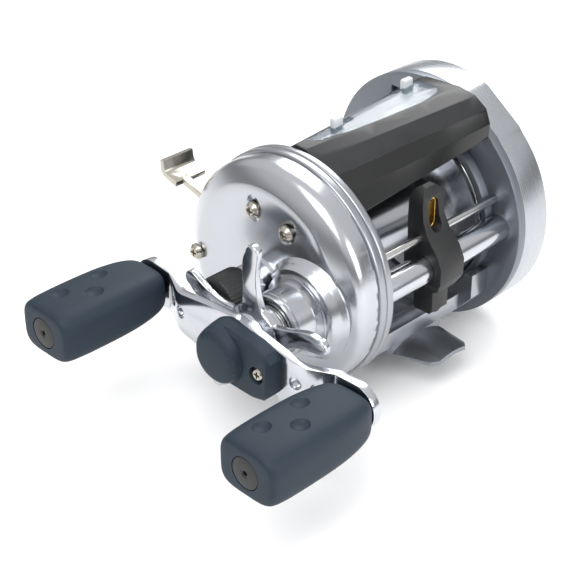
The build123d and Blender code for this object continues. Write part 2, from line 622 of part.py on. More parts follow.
def knob_centre(side):
    tilt = math.radians(HANDLE_TILT)
    reach = side * KNOB_SPACING / 2
    return (DRIVE_Y + reach * math.cos(tilt), DRIVE_Z + reach * math.sin(tilt))


def make_spindles():
    """The two steel spindles that the knobs turn on."""
    return Compound([spindle_piece(side) for side in (-1, 1)])


def spindle_piece(side):
    y, z = knob_centre(side)
    end = KNOB_X - KNOB_LEN + 2.6
    spindle = bar_x(BLADE_END_X + 1.0, end, SPINDLE_R, y, z)
    spindle += bar_x(BLADE_END_X, BLADE_END_X + 1.0, 2.9, y, z)
    spindle += bar_x(end, end + 1.0, 2.3, y, z)
    return spindle


def make_knob(side):
    """A soft-touch paddle knob, wider and thicker towards its outer end."""
    y, z = knob_centre(side)
    stations = [(0.0, KNOB_ROOT_W, 9.4), (4.0, KNOB_ROOT_W + 1.4, 10.2), (12.0, KNOB_W - 1.0, KNOB_T - 0.9),
                (19.5, KNOB_W, KNOB_T), (25.0, KNOB_W - 1.2, KNOB_T - 0.5),
                (KNOB_LEN - 0.9, KNOB_W - 4.0, 10.4), (KNOB_LEN, KNOB_W - 6.6, 8.6)]
    sections = []
    for depth, wide, thick in stations:
        plane = Plane(origin=(KNOB_X - depth, y, z), x_dir=(0, 1, 0), z_dir=(-1, 0, 0))
        sections.append(plane * RectangleRounded(wide, thick, min(wide, thick) * 0.42))
    knob = loft(sections)
    knob -= bar_x(KNOB_X + 1, KNOB_X - KNOB_LEN - 1, SPINDLE_R + RUN, y, z)
    knob -= bar_x(KNOB_X - KNOB_LEN + 1.1, KNOB_X - KNOB_LEN - 1, KNOB_CAP_R + RUN, y, z)
    knob -= bar_x(KNOB_X - KNOB_LEN + 4.0, KNOB_X - KNOB_LEN - 1, 2.6, y, z)
    return knob


def make_knob_cap(side):
    y, z = knob_centre(side)
    end = KNOB_X - KNOB_LEN
    cap = turned([(end + 1.1, 0), (end + 1.1, KNOB_CAP_R), (end + 0.15, KNOB_CAP_R),
                  (end, KNOB_CAP_R - 0.25), (end, 0)], y, z)
    return cap - bar_x(end - 1, end + 0.5, 0.5, y, z)


# ---------------------------------------------------------------- spool and pinion
MAIN_PHASE = 0.0
PINION_PHASE = mesh_phase(MAIN_TEETH, MAIN_PHASE, DRIVE_C, PINION_TEETH, SPOOL_C)
SPOOL_PHASE = 0.0
IDLER_PHASE = mesh_phase(SPOOL_TEETH, SPOOL_PHASE, SPOOL_C, IDLER_BIG, IDLER_C)
WORM_PHASE = mesh_phase(IDLER_SMALL, IDLER_PHASE, IDLER_C, WORM_TEETH, WORM_C)
CIDLER_PHASE = mesh_phase(SPOOL_TEETH, SPOOL_PHASE, SPOOL_C, COUNTER_IDLER_TEETH, CIDLER_C)
COUNTER_PHASE = mesh_phase(COUNTER_IDLER_TEETH, CIDLER_PHASE, CIDLER_C, COUNTER_TEETH, COUNTER_C)
PINION_END = GEAR_X + 1.2


def make_spool():
    """A one-piece spool: tapered arbor between two thin dished flanges."""
    end = SPOOL_END
    profile = [(-end, 2.0), (-end, SPOOL_R - 0.5), (-end + 0.4, SPOOL_R), (-end + 1.0, SPOOL_R),
               (-end + FLANGE_T, SPOOL_R - 0.8), (-end + 2.6, ARBOR_R + 3.5), (-end + 5.5, ARBOR_R + 0.4),
               (-end + 8.0, ARBOR_R), (end - 8.0, ARBOR_R), (end - 5.5, ARBOR_R + 0.4),
               (end - 2.6, ARBOR_R + 3.5), (end - FLANGE_T, SPOOL_R - 0.8), (end - 1.0, SPOOL_R),
               (end - 0.4, SPOOL_R), (end, SPOOL_R - 0.5), (end, 2.0)]
    spool = turned(profile)
    spool -= tube_x(-end - 1, -end + 1.6, SPOOL_R - 2.6, 6.5)
    spool -= tube_x(-end - 1, -end + 6.0, ARBOR_R - 1.2, HUB_R)
    spool -= tube_x(end + 1, end - 1.2, SPOOL_R - 2.6, 6.5)
    spool -= tube_x(end + 1, end - 6.0, ARBOR_R - 1.2, HUB_R)
    for x in (-6.0, 6.0):
        spool -= Pos(x, 0, ARBOR_R) * Cylinder(1.2, 3.0)
    return spool


def make_spool_shaft():
    """Spool shaft with its drive pin on the handle side and its gear seat on the far side."""
    start = RING_OUT - CAP_START + 0.4
    shaft = bar_x(start, RING_OUT - 0.3, PINION_SHAFT_R)
    shaft += bar_x(RING_OUT - 0.35, TRAIN_2, SHAFT_R)
    shaft += bar_x(-SPOOL_END + 1.6, SPOOL_END - 1.2, 2.0)
    shaft += bar_x(TRAIN_2, TRAIN_END + 0.6, GEAR_SEAT_R)
    return shaft


def make_spool_gear():
    wheel = gear(SPOOL_TEETH, MODULE_TRAIN, SPOOL_PHASE, TRAIN_2, TRAIN_END)
    return wheel - bar_x(TRAIN_2 - 1, TRAIN_END + 1, GEAR_SEAT_R)


def make_brake_blocks():
    """Two centrifugal brake blocks on a cross pin, inside the far flange's recess."""
    x = SPOOL_END - 0.65
    pin = Pos(x, 0, 0) * Cylinder(0.45, 18.0) - bar_x(x - 2, x + 2, HUB_R)
    blocks = [Pos(x, 0, side * 7.6) * (Cylinder(0.95, 2.4) & Box(1.05, 3, 3)) for side in (-1, 1)]
    return (pin + blocks[0] + blocks[1]) & bar_x(x - 0.52, x + 0.5, 9.0)


def make_pinion():
    end = PINION_END - 6.2
    pinion = gear(PINION_TEETH, MODULE_DRIVE, PINION_PHASE, PINION_END, PINION_END - 4.6)
    pinion += turned([(PINION_END - 4.6, 0), (PINION_END - 4.6, 2.5), (PINION_END - 5.0, 2.5),
                      (PINION_END - 5.0, PINION_NECK_R), (PINION_END - 5.8, PINION_NECK_R),
                      (PINION_END - 5.8, 2.5), (end, 2.5), (end, 0)])
    return pinion - bar_x(PINION_END + 1, end - 1, PINION_SHAFT_R + RUN)


def make_yoke():
    x0 = PINION_END - 5.05
    x1 = PINION_END - 5.75
    yoke = box(x1, x0, -2.4, 3.4, -9.6, 9.6)
    yoke -= bar_x(x0 + 1, x1 - 1, PINION_NECK_R + RUN)
    yoke -= box(x1 - 1, x0 + 1, 0, 4, -1.75, 1.75)
    for side in (-1, 1):
        yoke -= bar_x(x0 + 1, x1 - 1, YOKE_PIN_R + RUN, 0.0, side * YOKE_PIN_Z)
    return yoke


def make_bearing(x0, x1):
    """A deep-groove ball bearing: two races with the balls between them."""
    outer = tube_x(x0, x1, BEARING_R, BEARING_R - 0.85)
    inner = tube_x(x0, x1, SHAFT_R + 0.8, SHAFT_R + RUN)
    balls = [Pos((x0 + x1) / 2, *polar((BEARING_R + SHAFT_R) / 2, 45 * k)) * Sphere(0.66) for k in range(8)]
    return [outer, inner] + balls


def make_bearings():
    """The two bearings that carry the spool shaft."""
    return Compound(make_bearing(RING_OUT - 0.3, RING_OUT - 0.3 + BEARING_T)
                    + make_bearing(PLATE_IN + 0.1, PLATE_IN + 0.1 + BEARING_T))


# ---------------------------------------------------------------- level wind
def make_tube():
    tube = tube_x(RING_OUT, PLATE_OUT, TUBE_R, TUBE_BORE, TUBE_Y, TUBE_Z)
    length = BAY - 5.0
    return tube - slot_z(0, TUBE_Y, TUBE_Z - TUBE_R - 1, TUBE_Z - 1.0, length, 2.2)


def make_rod():
    return bar_x(RING_IN - 2.5, PLATE_IN + 2, ROD_R, ROD_Y, ROD_Z)


def make_worm():
    """The level-wind worm, its groove drawn as rings."""
    worm = bar_x(RING_IN - 1.0, PLATE_IN - 1.0, WORM_R, TUBE_Y, TUBE_Z)
    worm += bar_x(RING_OUT, TRAIN_1 + TRAIN_T, WORM_PIVOT_R, TUBE_Y, TUBE_Z)
    count = int((BAY - 8) / WORM_PITCH)
    for k in range(count):
        x = (k - (count - 1) / 2) * WORM_PITCH
        worm -= tube_x(x - 0.6, x + 0.6, WORM_R + 1, WORM_R - 0.7, TUBE_Y, TUBE_Z)
    return worm


def make_worm_bushes():
    left = tube_x(PLATE_IN - 0.6, PLATE_OUT, TUBE_BORE, WORM_PIVOT_R + RUN, TUBE_Y, TUBE_Z)
    right = tube_x(RING_OUT, RING_IN - 1.4, TUBE_BORE, WORM_PIVOT_R + RUN, TUBE_Y, TUBE_Z)
    return Compound([left, right])


def make_worm_gear():
    wheel = gear(WORM_TEETH, MODULE_TRAIN, WORM_PHASE, TRAIN_1, TRAIN_1 + TRAIN_T, *WORM_C)
    return wheel - bar_x(TRAIN_1 - 1, TRAIN_1 + TRAIN_T + 1, WORM_PIVOT_R, *WORM_C)


def make_line_guide():
    """The carriage: a collar round the tube, an arch with the line eye, and a pawl housing below."""
    half = GUIDE_W / 2
    x0 = GUIDE_X - half
    x1 = GUIDE_X + half
    side = [(-25.9, -9.6), (-25.2, -10.3), (-21.0, -10.3), (-20.4, -9.6), (-20.4, -3.4), (-18.2, -0.6),
            (-18.0, 3.6), (-18.9, 7.2), (-18.4, 12.0), (-18.3, 17.4), (-18.9, 19.6), (-20.2, 20.6),
            (-21.4, 20.2), (-22.2, 18.2), (-22.9, 13.0), (-24.6, 9.6), (-27.4, 6.6), (-29.0, 3.4),
            (-29.0, -0.6), (-27.6, -3.4), (-25.9, -4.4)]
    guide = prism_x(side, x0, x1)
    front = [(-2.7, -11), (2.7, -11), (2.7, -3.6), (half, -1.6), (half, 6.5), (half - 0.35, 12.0),
             (half - 0.5, 16.4)]
    front += [((half - 0.6) * math.cos(math.radians(a)), 16.4 + 4.6 * math.sin(math.radians(a)))
              for a in (25, 50, 75, 90, 105, 130, 155)]
    front += [(-half + 0.5, 16.4), (-half + 0.35, 12.0), (-half, 6.5), (-half, -1.6), (-2.7, -3.6)]
    face = make_face(Polyline(*[(GUIDE_X + x, -31, z) for x, z in front], close=True))
    guide = guide & extrude(face, amount=16, dir=(0, 1, 0))
    guide -= bar_x(x0 - 1, x1 + 1, TUBE_R + RUN, TUBE_Y, TUBE_Z)
    guide -= bar_x(x0 - 1, x1 + 1, ROD_R + RUN, ROD_Y, ROD_Z)
    guide -= eye(1.75, -32, -16)
    guide -= Pos(GUIDE_X, TUBE_Y, -6) * Cylinder(1.3, 12)
    guide -= Pos(GUIDE_X, TUBE_Y, -9.7) * Cylinder(2.0, 2.4)
    return guide


def eye(radius, y0, y1):
    """The tall round-ended line eye, along Y."""
    low = 11.6
    high = 16.0
    shape = box(GUIDE_X - radius, GUIDE_X + radius, y0, y1, low, high)
    for z in (low, high):
        shape += Pos(GUIDE_X, (y0 + y1) / 2, z) * Rot(90, 0, 0) * Cylinder(radius, y1 - y0)
    return shape


def make_eye_insert():
    return eye(1.72, -21.9, -19.2) - eye(1.25, -32, -16)


def make_pawl():
    """The pawl: a pin with a rounded blade that follows the worm."""
    low = -8.4
    high = TUBE_Z - WORM_R - 0.1
    return Pos(GUIDE_X, TUBE_Y, (low + high) / 2) * Cylinder(1.0, high - low)


def make_pawl_cap():
    cap = Pos(GUIDE_X, TUBE_Y, -9.55) * Cylinder(1.98, 1.9)
    return cap - Pos(GUIDE_X, TUBE_Y, -10.5) * Box(2.6, 0.5, 0.8)


# ---------------------------------------------------------------- far side
def make_left_cover():
    """The far cover: a plate-shaped rim with a stepped, gently domed end, hollow for the gear train."""
    body = far_outline(0.0, COVER_IN, COVER_EDGE)
    body = body + far_outline(1.3, COVER_EDGE, COVER_EDGE + 1.4)
    body = body + turned([(COVER_EDGE + 1.3, 0), (COVER_EDGE + 1.3, 24.5), (COVER_EDGE + 2.0, 24.0),
                          (COVER_EDGE + COVER_DOME - 0.8, 17.0), (COVER_EDGE + COVER_DOME, 9.0),
                          (COVER_EDGE + COVER_DOME, 0)])
    body -= far_outline(COVER_WALL, COVER_IN - 1, COVER_EDGE - 0.4)
    body -= bar_x(TRAIN_3 - GEAR_CLEAR, COVER_EDGE - 0.4, COUNTER_TIP_R + COUNTER_RELIEF, *COUNTER_C)
    body += bar_x(TRAIN_END + 1.0, COVER_EDGE + 1, 4.0)
    body -= bar_x(TRAIN_END, TRAIN_END + 3.2, 2.2)
    for y, z in LEFT_SCREWS:
        body += bar_x(COVER_IN, COVER_EDGE, 2.2, y, z) & far_outline(0.2, COVER_IN, COVER_EDGE)
        body -= bar_x(COVER_IN - 1, COVER_EDGE + 6, SCREW_BORE_R, y, z)
        body -= bar_x(COVER_EDGE - 0.2, COVER_EDGE + 6, 2.05, y, z)
    body -= slot_x(CLICK_C, CLICK_R, CLICK_TRAVEL)
    return body


def slot_x(centre, radius, travel):
    """A round-ended slot through the far cover's end for the clicker button, tall in Z."""
    y, z = centre
    x0 = COVER_EDGE - 2
    x1 = COVER_EDGE + 8
    return (box(x0, x1, y - radius, y + radius, z - travel / 2, z + travel / 2)
            + bar_x(x0, x1, radius, y, z - travel / 2) + bar_x(x0, x1, radius, y, z + travel / 2))


def make_clicker():
    """The bait clicker's sliding button."""
    y, z = CLICK_C
    z -= 1.8
    stem = bar_x(COVER_EDGE - 1.6, COVER_EDGE + COVER_DOME + 0.4, 1.2, y, z)
    head = turned([(COVER_EDGE + COVER_DOME + 0.3, 0), (COVER_EDGE + COVER_DOME + 0.3, 2.6),
                   (COVER_EDGE + COVER_DOME + 1.3, 2.6), (COVER_EDGE + COVER_DOME + 1.8, 2.0),
                   (COVER_EDGE + COVER_DOME + 1.8, 0)], y, z)
    foot = bar_x(COVER_EDGE - 1.6, COVER_EDGE - 0.75, 2.0, y, z)
    return stem + head + foot


def make_far_screws():
    """Three cover screws and the two that hold the counter to the far plate."""
    seat = COVER_EDGE - 0.2
    cover = [pan_screw(seat, 1.95, 1.4, 0.85, COVER_DEPTH + 1.0, y, z, 1) for y, z in LEFT_SCREWS]
    counter = [pan_screw(PLATE_OUT, 1.3, 0.6, 0.75, 4.4, y, z, 1) for y, z in COUNTER_SCREWS]
    return Compound(cover + counter)


def make_idler():
    """Compound idler: the spool gear turns its big wheel and its small wheel turns the worm gear."""
    small = gear(IDLER_SMALL, MODULE_TRAIN, IDLER_PHASE, TRAIN_1, TRAIN_1 + TRAIN_T + 0.2, *IDLER_C)
    link = bar_x(TRAIN_1 + TRAIN_T + 0.1, TRAIN_2 + 0.1, 4.0, *IDLER_C)
    big = gear(IDLER_BIG, MODULE_TRAIN, IDLER_PHASE, TRAIN_2, TRAIN_2 + TRAIN_T, *IDLER_C)
    for k in range(5):
        y, z = polar(7.4, 72 * k, *IDLER_C)
        big -= bar_x(TRAIN_2 - 1, TRAIN_2 + TRAIN_T + 1, 1.9, y, z)
    return small + link + big - bar_x(TRAIN_1 - 1, TRAIN_2 + TRAIN_T + 1, STUD_R + RUN, *IDLER_C)


def make_counter_idler():
    wheel = gear(COUNTER_IDLER_TEETH, MODULE_TRAIN, CIDLER_PHASE, TRAIN_3, TRAIN_END, *CIDLER_C)
    wheel += bar_x(TRAIN_2 + 0.1, TRAIN_3 + 0.1, 1.9, *CIDLER_C)
    for k in range(5):
        y, z = polar(6.2, 72 * k, *CIDLER_C)
        wheel -= bar_x(TRAIN_3 - 1, TRAIN_END + 1, 1.9, y, z)
    return wheel - bar_x(TRAIN_1 - 1, TRAIN_END + 1, STUD_R + RUN, *CIDLER_C)


def make_gear_studs():
    """The two studs in the far plate that the idlers turn on."""
    first = bar_x(PLATE_OUT - 1.6, TRAIN_2 + TRAIN_T + 0.4, STUD_R, *IDLER_C)
    second = bar_x(PLATE_OUT - 1.6, TRAIN_END + 0.3, STUD_R, *CIDLER_C)
    second += bar_x(PLATE_OUT, TRAIN_2 - 0.1, 1.9, *CIDLER_C)
    return Compound([first, second])


# ---------------------------------------------------------------- line counter
def counter_section(x, scale):
    """Outline of the counter housing at a station: scale 0 at the ring end and 1 at the far plate."""
    near = [(-17.6, 18.9), (-13.9, 22.2), (-9.3, 24.6), (-4.4, 27.0), (-0.6, 28.3), (2.4, 28.6), (4.4, 27.2),
            (4.9, 23.2), (-4.0, 21.9)]
    far = [(-18.8, 23.3), (-19.0, 26.8), (-17.6, 30.2), (-14.2, 32.4), (-9.6, 33.2), (0.6, 32.6),
           (3.4, 31.0), (4.6, 25.6), (-7.0, 23.1)]
    return [(a[0] + (b[0] - a[0]) * scale, a[1] + (b[1] - a[1]) * scale) for a, b in zip(near, far)]


def counter_solid(inset):
    """The housing as one solid between the two end frames, or its hollow when inset."""
    x0 = RING_IN + (inset if inset else 0.0)
    x1 = PLATE_IN - (inset if inset else 0.0)
    faces = []
    for x, scale in ((x0, 0.0), (x1, 1.0)):
        points = counter_section(x, scale)
        wire = Polyline(*[(x, y, z) for y, z in points], close=True)
        face = make_face(wire)
        if inset:
            face = offset_section(points, x, inset)
        faces.append(face)
    return loft(faces, ruled=True)


def offset_section(points, x, inset):
    """The same outline, moved in by the wall on every side."""
    count = len(points)
    moved = []
    for i in range(count):
        before, here, after = points[i - 1], points[i], points[(i + 1) % count]
        normals = []
        for a, b in ((before, here), (here, after)):
            length = math.hypot(b[0] - a[0], b[1] - a[1])
            normals.append(((b[1] - a[1]) / length, -(b[0] - a[0]) / length))
        ny = normals[0][0] + normals[1][0]
        nz = normals[0][1] + normals[1][1]
        size = ny * normals[0][0] + nz * normals[0][1]
        moved.append((here[0] + inset * ny / size, here[1] + inset * nz / size))
    return make_face(Polyline(*[(x, y, z) for y, z in moved], close=True))


def seam_cut(upper):
    """Everything above, or below, the seam between the counter's base and its cover."""
    near = [(-40, 24.6 - 6.0), (-9.3, 24.6), (5.5, 24.9), (40, 25.5)]
    far = [(-40, 30.2 - 5.0), (-17.6, 30.2), (5.5, 27.4), (40, 26.0)]
    top = 60 if upper else -60
    faces = []
    for x, line in ((RING_IN - 1, near), (PLATE_IN + 1, far)):
        points = line + [(40, top), (-40, top)]
        faces.append(make_face(Polyline(*[(x, y, z) for y, z in points], close=True)))
    return loft(faces, ruled=True)


def lens_cut(grow):
    """The window in the counter's cover: long, straight at the back and bowed at the front."""
    x0 = RING_IN + 2.4 - grow
    x1 = PLATE_IN - 2.6 + grow
    back = 2.0 + grow
    points = [(x0, back), (x0 + 2.5, -0.4 - grow), (x0 + 10, -3.2 - grow), (x0 + 20, -5.6 - grow),
              (x1 - 8, -7.4 - grow), (x1 - 2.6, -7.2 - grow), (x1 - 0.6, -5.6 - grow),
              (x1, -3.2), (x1 - 0.4, back)]
    face = make_face(Polyline(*[(x, y, 20) for x, y in points], close=True))
    return extrude(face, amount=20, dir=(0, 0, 1))


def make_counter_parts():
    """Base, cover and lens, cut from one housing."""
    shell = counter_solid(0.0) - counter_solid(COUNTER_WALL)
    lens_shell = (counter_solid(0.0) - counter_solid(LENS_T)) & lens_cut(0.0) & seam_cut(True)
    base = shell & seam_cut(False)
    cover = (shell & seam_cut(True)) - lens_cut(0.0)
    bore = bar_x(COUNTER_X0 - 2.4, PLATE_IN + 1, COUNTER_SHAFT_R + COUNTER_SHAFT_GAP, *COUNTER_C)
    bracket = box(COUNTER_X0 - 1.6, COUNTER_X0 - 0.4, -6.3, -0.7, 22.0, 28.2)
    bracket &= counter_solid(COUNTER_WALL - 0.05)
    base += bracket & seam_cut(False)
    for y, z in COUNTER_SCREWS:
        base -= bar_x(PLATE_IN - 3, PLATE_IN + 1, COUNTER_SCREW_BORE_R, y, z)
        cover -= bar_x(PLATE_IN - 3, PLATE_IN + 1, COUNTER_SCREW_BORE_R, y, z)
    button = Pos(RESET_X, 5.0, RESET_Z) * Rot(90, 0, 0) * Cylinder(RESET_R + RUN, 6)
    clips = make_lens_clips()
    return base - bore - button, cover - bore - button - clips, lens_shell - clips


def make_wheel(index):
    x0 = COUNTER_X0 + 1.0 + index * (WHEEL_W + 0.4)
    wheel = turned([(x0, 0), (x0, WHEEL_R - 0.2), (x0 + 0.2, WHEEL_R), (x0 + WHEEL_W - 0.2, WHEEL_R),
                    (x0 + WHEEL_W, WHEEL_R - 0.2), (x0 + WHEEL_W, 0)], *COUNTER_C)
    bore = COUNTER_SHAFT_R if index == 2 else COUNTER_SHAFT_R + RUN
    return wheel - bar_x(x0 - 1, x0 + WHEEL_W + 1, bore, *COUNTER_C)


def make_counter_shaft():
    """Counter shaft with its gear cut on the far end."""
    shaft = bar_x(COUNTER_X0 - 1.8, TRAIN_3 + 0.1, COUNTER_SHAFT_R, *COUNTER_C)
    return shaft + gear(COUNTER_TEETH, MODULE_TRAIN, COUNTER_PHASE, TRAIN_3, TRAIN_END, *COUNTER_C)


def make_reset_button():
    """Push button at the back of the counter, with the flange that keeps it in."""
    stem = Pos(RESET_X, 4.1, RESET_Z) * Rot(90, 0, 0) * Cylinder(RESET_R, 3.6)
    return stem + Pos(RESET_X, 2.3, RESET_Z) * Rot(90, 0, 0) * Cylinder(RESET_R + 0.35, 0.5)


def make_lens_clips():
    """Two small frosted lugs that hold the lens down."""
    clips = []
    for x, z in ((-9.0, 29.6), (14.5, 31.6)):
        lug = box(x - 1.5, x + 1.5, 0.4, 2.0, z - 0.6, z + 2.2)
        clips.append(fillet(lug.edges().filter_by(Axis.X), 0.5))
    return Compound(clips)


# ---------------------------------------------------------------- caps, tab
def make_cast_cap():
    x0 = COLLAR_END
    x1 = CAP_FACE
    cap = turned([(x0, 0), (x0, CAP_R), (x1 + 0.7, CAP_R - 0.15), (x1, CAP_R - 0.9), (x1, 0)])
    for k in range(CAP_RIBS):
        y, z = polar(CAP_R + 0.08, 360 / CAP_RIBS * k)
        cap -= bar_x(x0 + 1, x1 + 1.6, 0.16, y, z)
    return cap - bar_x(x0 + 1, x0 - 5.6, SPIGOT_R + RUN)


def make_thumb_tab():
    """Bent sheet tab: an arm inside the cup, out through its slot, ending in an upturned thumb pad."""
    x1 = RING_OUT - 1.7
    x0 = RING_OUT - 3.7
    arm = [(8.6, 2.0), (23.8, 7.4), (27.6, 9.3), (33.4, 11.0), (33.0, 12.3), (27.2, 10.6),
           (23.3, 8.8), (8.2, 3.5)]
    tab = prism_x(arm, x0, x1)
    tab += tube_x(x0, x1, 9.2, 7.8) & box(x0, x1, 0, 12, -3, 6)
    pad = [(32.2, 10.6), (36.6, 12.0), (37.4, 13.2), (37.5, 15.8), (36.3, 16.0), (36.0, 13.8), (35.4, 13.0),
           (31.9, 11.9)]
    tab += prism_x(pad, x0 - 2.2, x1 + 5.0)
    return tab


PIECES = {
    "frame_ring": make_ring, "frame_far_plate": make_far_plate,
    "frame_bar_front": lambda: make_lower_bar(-1), "frame_bar_rear": lambda: make_lower_bar(1),
    "thumb_bar": make_rear_bar, "reel_foot": make_foot, "foot_rivets": make_foot_rivets,
    "handle_side_cover": make_handle_cover, "gear_plate": make_gear_plate,
    "face_screws": make_face_screws, "drive_bushing": make_drive_bushing,
    "roller_clutch": make_roller_clutch, "drive_shaft": make_drive_shaft, "main_gear": make_main_gear,
    "drag_washers": make_drag_stack, "clutch_sleeve": make_clutch_sleeve, "star_drag": make_star,
    "handle_blade": make_blade, "handle_nut": make_handle_nut, "nut_cover": make_nut_cover,
    "nut_cover_screw": make_nut_screw, "knob_spindles": make_spindles,
    "knob_front": lambda: make_knob(-1), "knob_rear": lambda: make_knob(1),
    "knob_cap_front": lambda: make_knob_cap(-1), "knob_cap_rear": lambda: make_knob_cap(1),
    "spool": make_spool, "spool_shaft": make_spool_shaft, "spool_gear": make_spool_gear,
    "brake_blocks": make_brake_blocks, "pinion": make_pinion, "yoke": make_yoke,
    "spool_bearings": make_bearings, "level_wind_tube": make_tube, "guide_rod": make_rod,
    "worm_shaft": make_worm, "worm_bushes": make_worm_bushes, "worm_gear": make_worm_gear,
    "line_guide": make_line_guide, "line_eye_insert": make_eye_insert, "pawl": make_pawl,
    "pawl_cap": make_pawl_cap, "far_cover": make_left_cover, "far_side_screws": make_far_screws,
    "clicker_button": make_clicker, "idler_gear": make_idler, "counter_idler_gear": make_counter_idler,
    "gear_studs": make_gear_studs, "counter_wheel_hundreds": lambda: make_wheel(0),
    "counter_wheel_tens": lambda: make_wheel(1), "counter_wheel_units": lambda: make_wheel(2),
    "counter_shaft": make_counter_shaft, "reset_button": make_reset_button,
    "lens_clips": make_lens_clips, "cast_control_cap": make_cast_cap, "thumb_tab": make_thumb_tab,
}

for name, make in PIECES.items():
    save(name, make())
counter_base, counter_cover, counter_lens = make_counter_parts()
save("counter_base", counter_base)
save("counter_cover", counter_cover)
save("counter_lens", counter_lens)
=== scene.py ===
"""A round baitcasting reel with a line counter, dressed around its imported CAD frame.

Every size is in millimetres until it meets Blender, where MM turns it to metres. +X runs
along the spool axis away from the handle, -Y is towards the rod tip and +Z is up.
"""

import json
import logging
import math
from dataclasses import dataclass
from enum import Enum
from typing import Iterable, Sequence

import bmesh
import bpy
from mathutils import Matrix, Vector


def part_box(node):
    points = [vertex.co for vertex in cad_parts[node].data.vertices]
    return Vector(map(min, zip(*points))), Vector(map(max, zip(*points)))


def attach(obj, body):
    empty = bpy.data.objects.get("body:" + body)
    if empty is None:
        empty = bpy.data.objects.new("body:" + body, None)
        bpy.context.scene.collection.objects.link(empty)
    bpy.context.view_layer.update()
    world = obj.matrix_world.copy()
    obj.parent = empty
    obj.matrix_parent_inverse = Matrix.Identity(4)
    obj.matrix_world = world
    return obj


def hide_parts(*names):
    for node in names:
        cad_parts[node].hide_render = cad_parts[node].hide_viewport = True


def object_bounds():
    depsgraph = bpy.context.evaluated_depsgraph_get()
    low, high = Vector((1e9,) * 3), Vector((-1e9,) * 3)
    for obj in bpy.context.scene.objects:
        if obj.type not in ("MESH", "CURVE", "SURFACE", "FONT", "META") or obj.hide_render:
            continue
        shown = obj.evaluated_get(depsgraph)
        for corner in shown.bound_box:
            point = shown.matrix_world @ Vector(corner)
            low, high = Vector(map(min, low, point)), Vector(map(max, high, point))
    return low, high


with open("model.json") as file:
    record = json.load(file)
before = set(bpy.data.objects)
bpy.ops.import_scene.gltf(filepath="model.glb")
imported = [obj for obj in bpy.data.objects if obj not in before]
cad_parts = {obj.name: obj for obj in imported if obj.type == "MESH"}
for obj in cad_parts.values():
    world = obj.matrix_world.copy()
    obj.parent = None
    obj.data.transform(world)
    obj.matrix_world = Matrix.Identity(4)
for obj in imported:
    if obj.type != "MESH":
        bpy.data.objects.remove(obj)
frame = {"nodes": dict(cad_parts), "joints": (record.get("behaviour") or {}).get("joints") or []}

CAD_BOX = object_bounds()
MM = 0.001
LOG = logging.getLogger("reel")
logging.basicConfig(level=logging.INFO, format="%(name)s: %(message)s")

Point = tuple[float, float, float]
Profile = Sequence[tuple[float, float]]


# ---------------------------------------------------------------- places read from the frame
def joint_place(name: str) -> Vector:
    """Give a joint's point in the row frame.

    Args:
        name: The joint's name.

    Returns:
        Its point, in metres.
    """
    found = [joint for joint in frame["joints"] if joint["name"] == name]
    return Vector(found[0]["pos_m"])


def span(node: str, axis: int) -> tuple[float, float]:
    """Give a CAD node's lowest and highest place along one axis.

    Args:
        node: The node's name.
        axis: 0, 1 or 2.

    Returns:
        The two places, in millimetres.
    """
    low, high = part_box(node)
    return low[axis] / MM, high[axis] / MM


SPOOL = joint_place("spool_spin")
DRIVE = joint_place("handle_crank")
KNOBS = {"front": joint_place("front_knob_spin"), "rear": joint_place("rear_knob_spin")}
COUNTER = joint_place("counter_spin")


# ---------------------------------------------------------------- modelling by hand, in code
def clear_selection() -> None:
    """Leave edit mode and deselect everything."""
    if bpy.context.object and bpy.context.object.mode != "OBJECT":
        bpy.ops.object.mode_set(mode="OBJECT")
    bpy.ops.object.select_all(action="DESELECT")


def pick(piece: bpy.types.Object) -> None:
    """Make one object the selected and active one.

    Args:
        piece: The object.
    """
    clear_selection()
    piece.hide_set(False)
    piece.select_set(True)
    bpy.context.view_layer.objects.active = piece


def turn(name: str, profile: Profile, centre: Vector, steps: int = 128) -> bpy.types.Object:
    """Turn a closed outline about a line along X, as on a lathe.

    Args:
        name: The new piece's name.
        profile: (x, radius) points, in millimetres, in order round the outline.
        centre: A point on the axis, in metres.
        steps: How many facets go round.

    Returns:
        The new piece.
    """
    clear_selection()
    bpy.ops.mesh.primitive_plane_add(size=MM)
    piece = bpy.context.object
    piece.name = name
    bpy.ops.object.mode_set(mode="EDIT")
    bpy.ops.mesh.select_all(action="SELECT")
    bpy.ops.mesh.merge(type="CENTER")
    places = [Vector((x * MM, centre.y, centre.z + radius * MM)) for x, radius in profile]
    bpy.ops.transform.translate(value=places[0])
    for before, after in zip(places, places[1:]):
        bpy.ops.mesh.extrude_vertices_move(TRANSFORM_OT_translate={"value": after - before})
    bpy.ops.mesh.select_all(action="SELECT")
    mesh = bmesh.from_edit_mesh(piece.data)
    mesh.verts.ensure_lookup_table()
    if min(profile[0][1], profile[-1][1]) > 0:
        mesh.edges.new((mesh.verts[0], mesh.verts[len(profile) - 1]))
        bmesh.update_edit_mesh(piece.data)
    bpy.ops.mesh.select_all(action="SELECT")
    bpy.ops.mesh.spin(steps=steps, angle=2 * math.pi, center=centre, axis=(1, 0, 0))
    bpy.ops.mesh.select_all(action="SELECT")
    bpy.ops.mesh.remove_doubles(threshold=2e-6)
    bpy.ops.mesh.normals_make_consistent(inside=False)
    bpy.ops.object.mode_set(mode="OBJECT")
    return piece


def arc_profile(centre: tuple[float, float], radius: float, start: float, end: float,
                count: int = 6) -> list[tuple[float, float]]:
    """Give points on a round stretch of an outline.

    Args:
        centre: The arc's centre, as (x, radius).
        radius: Its radius.
        start: Its first angle, in degrees from +x.
        end: Its last angle.
        count: How many steps it takes.

    Returns:
        The points.
    """
    angles = [math.radians(start + (end - start) * k / count) for k in range(count + 1)]
    return [(centre[0] + radius * math.cos(a), centre[1] + radius * math.sin(a)) for a in angles]


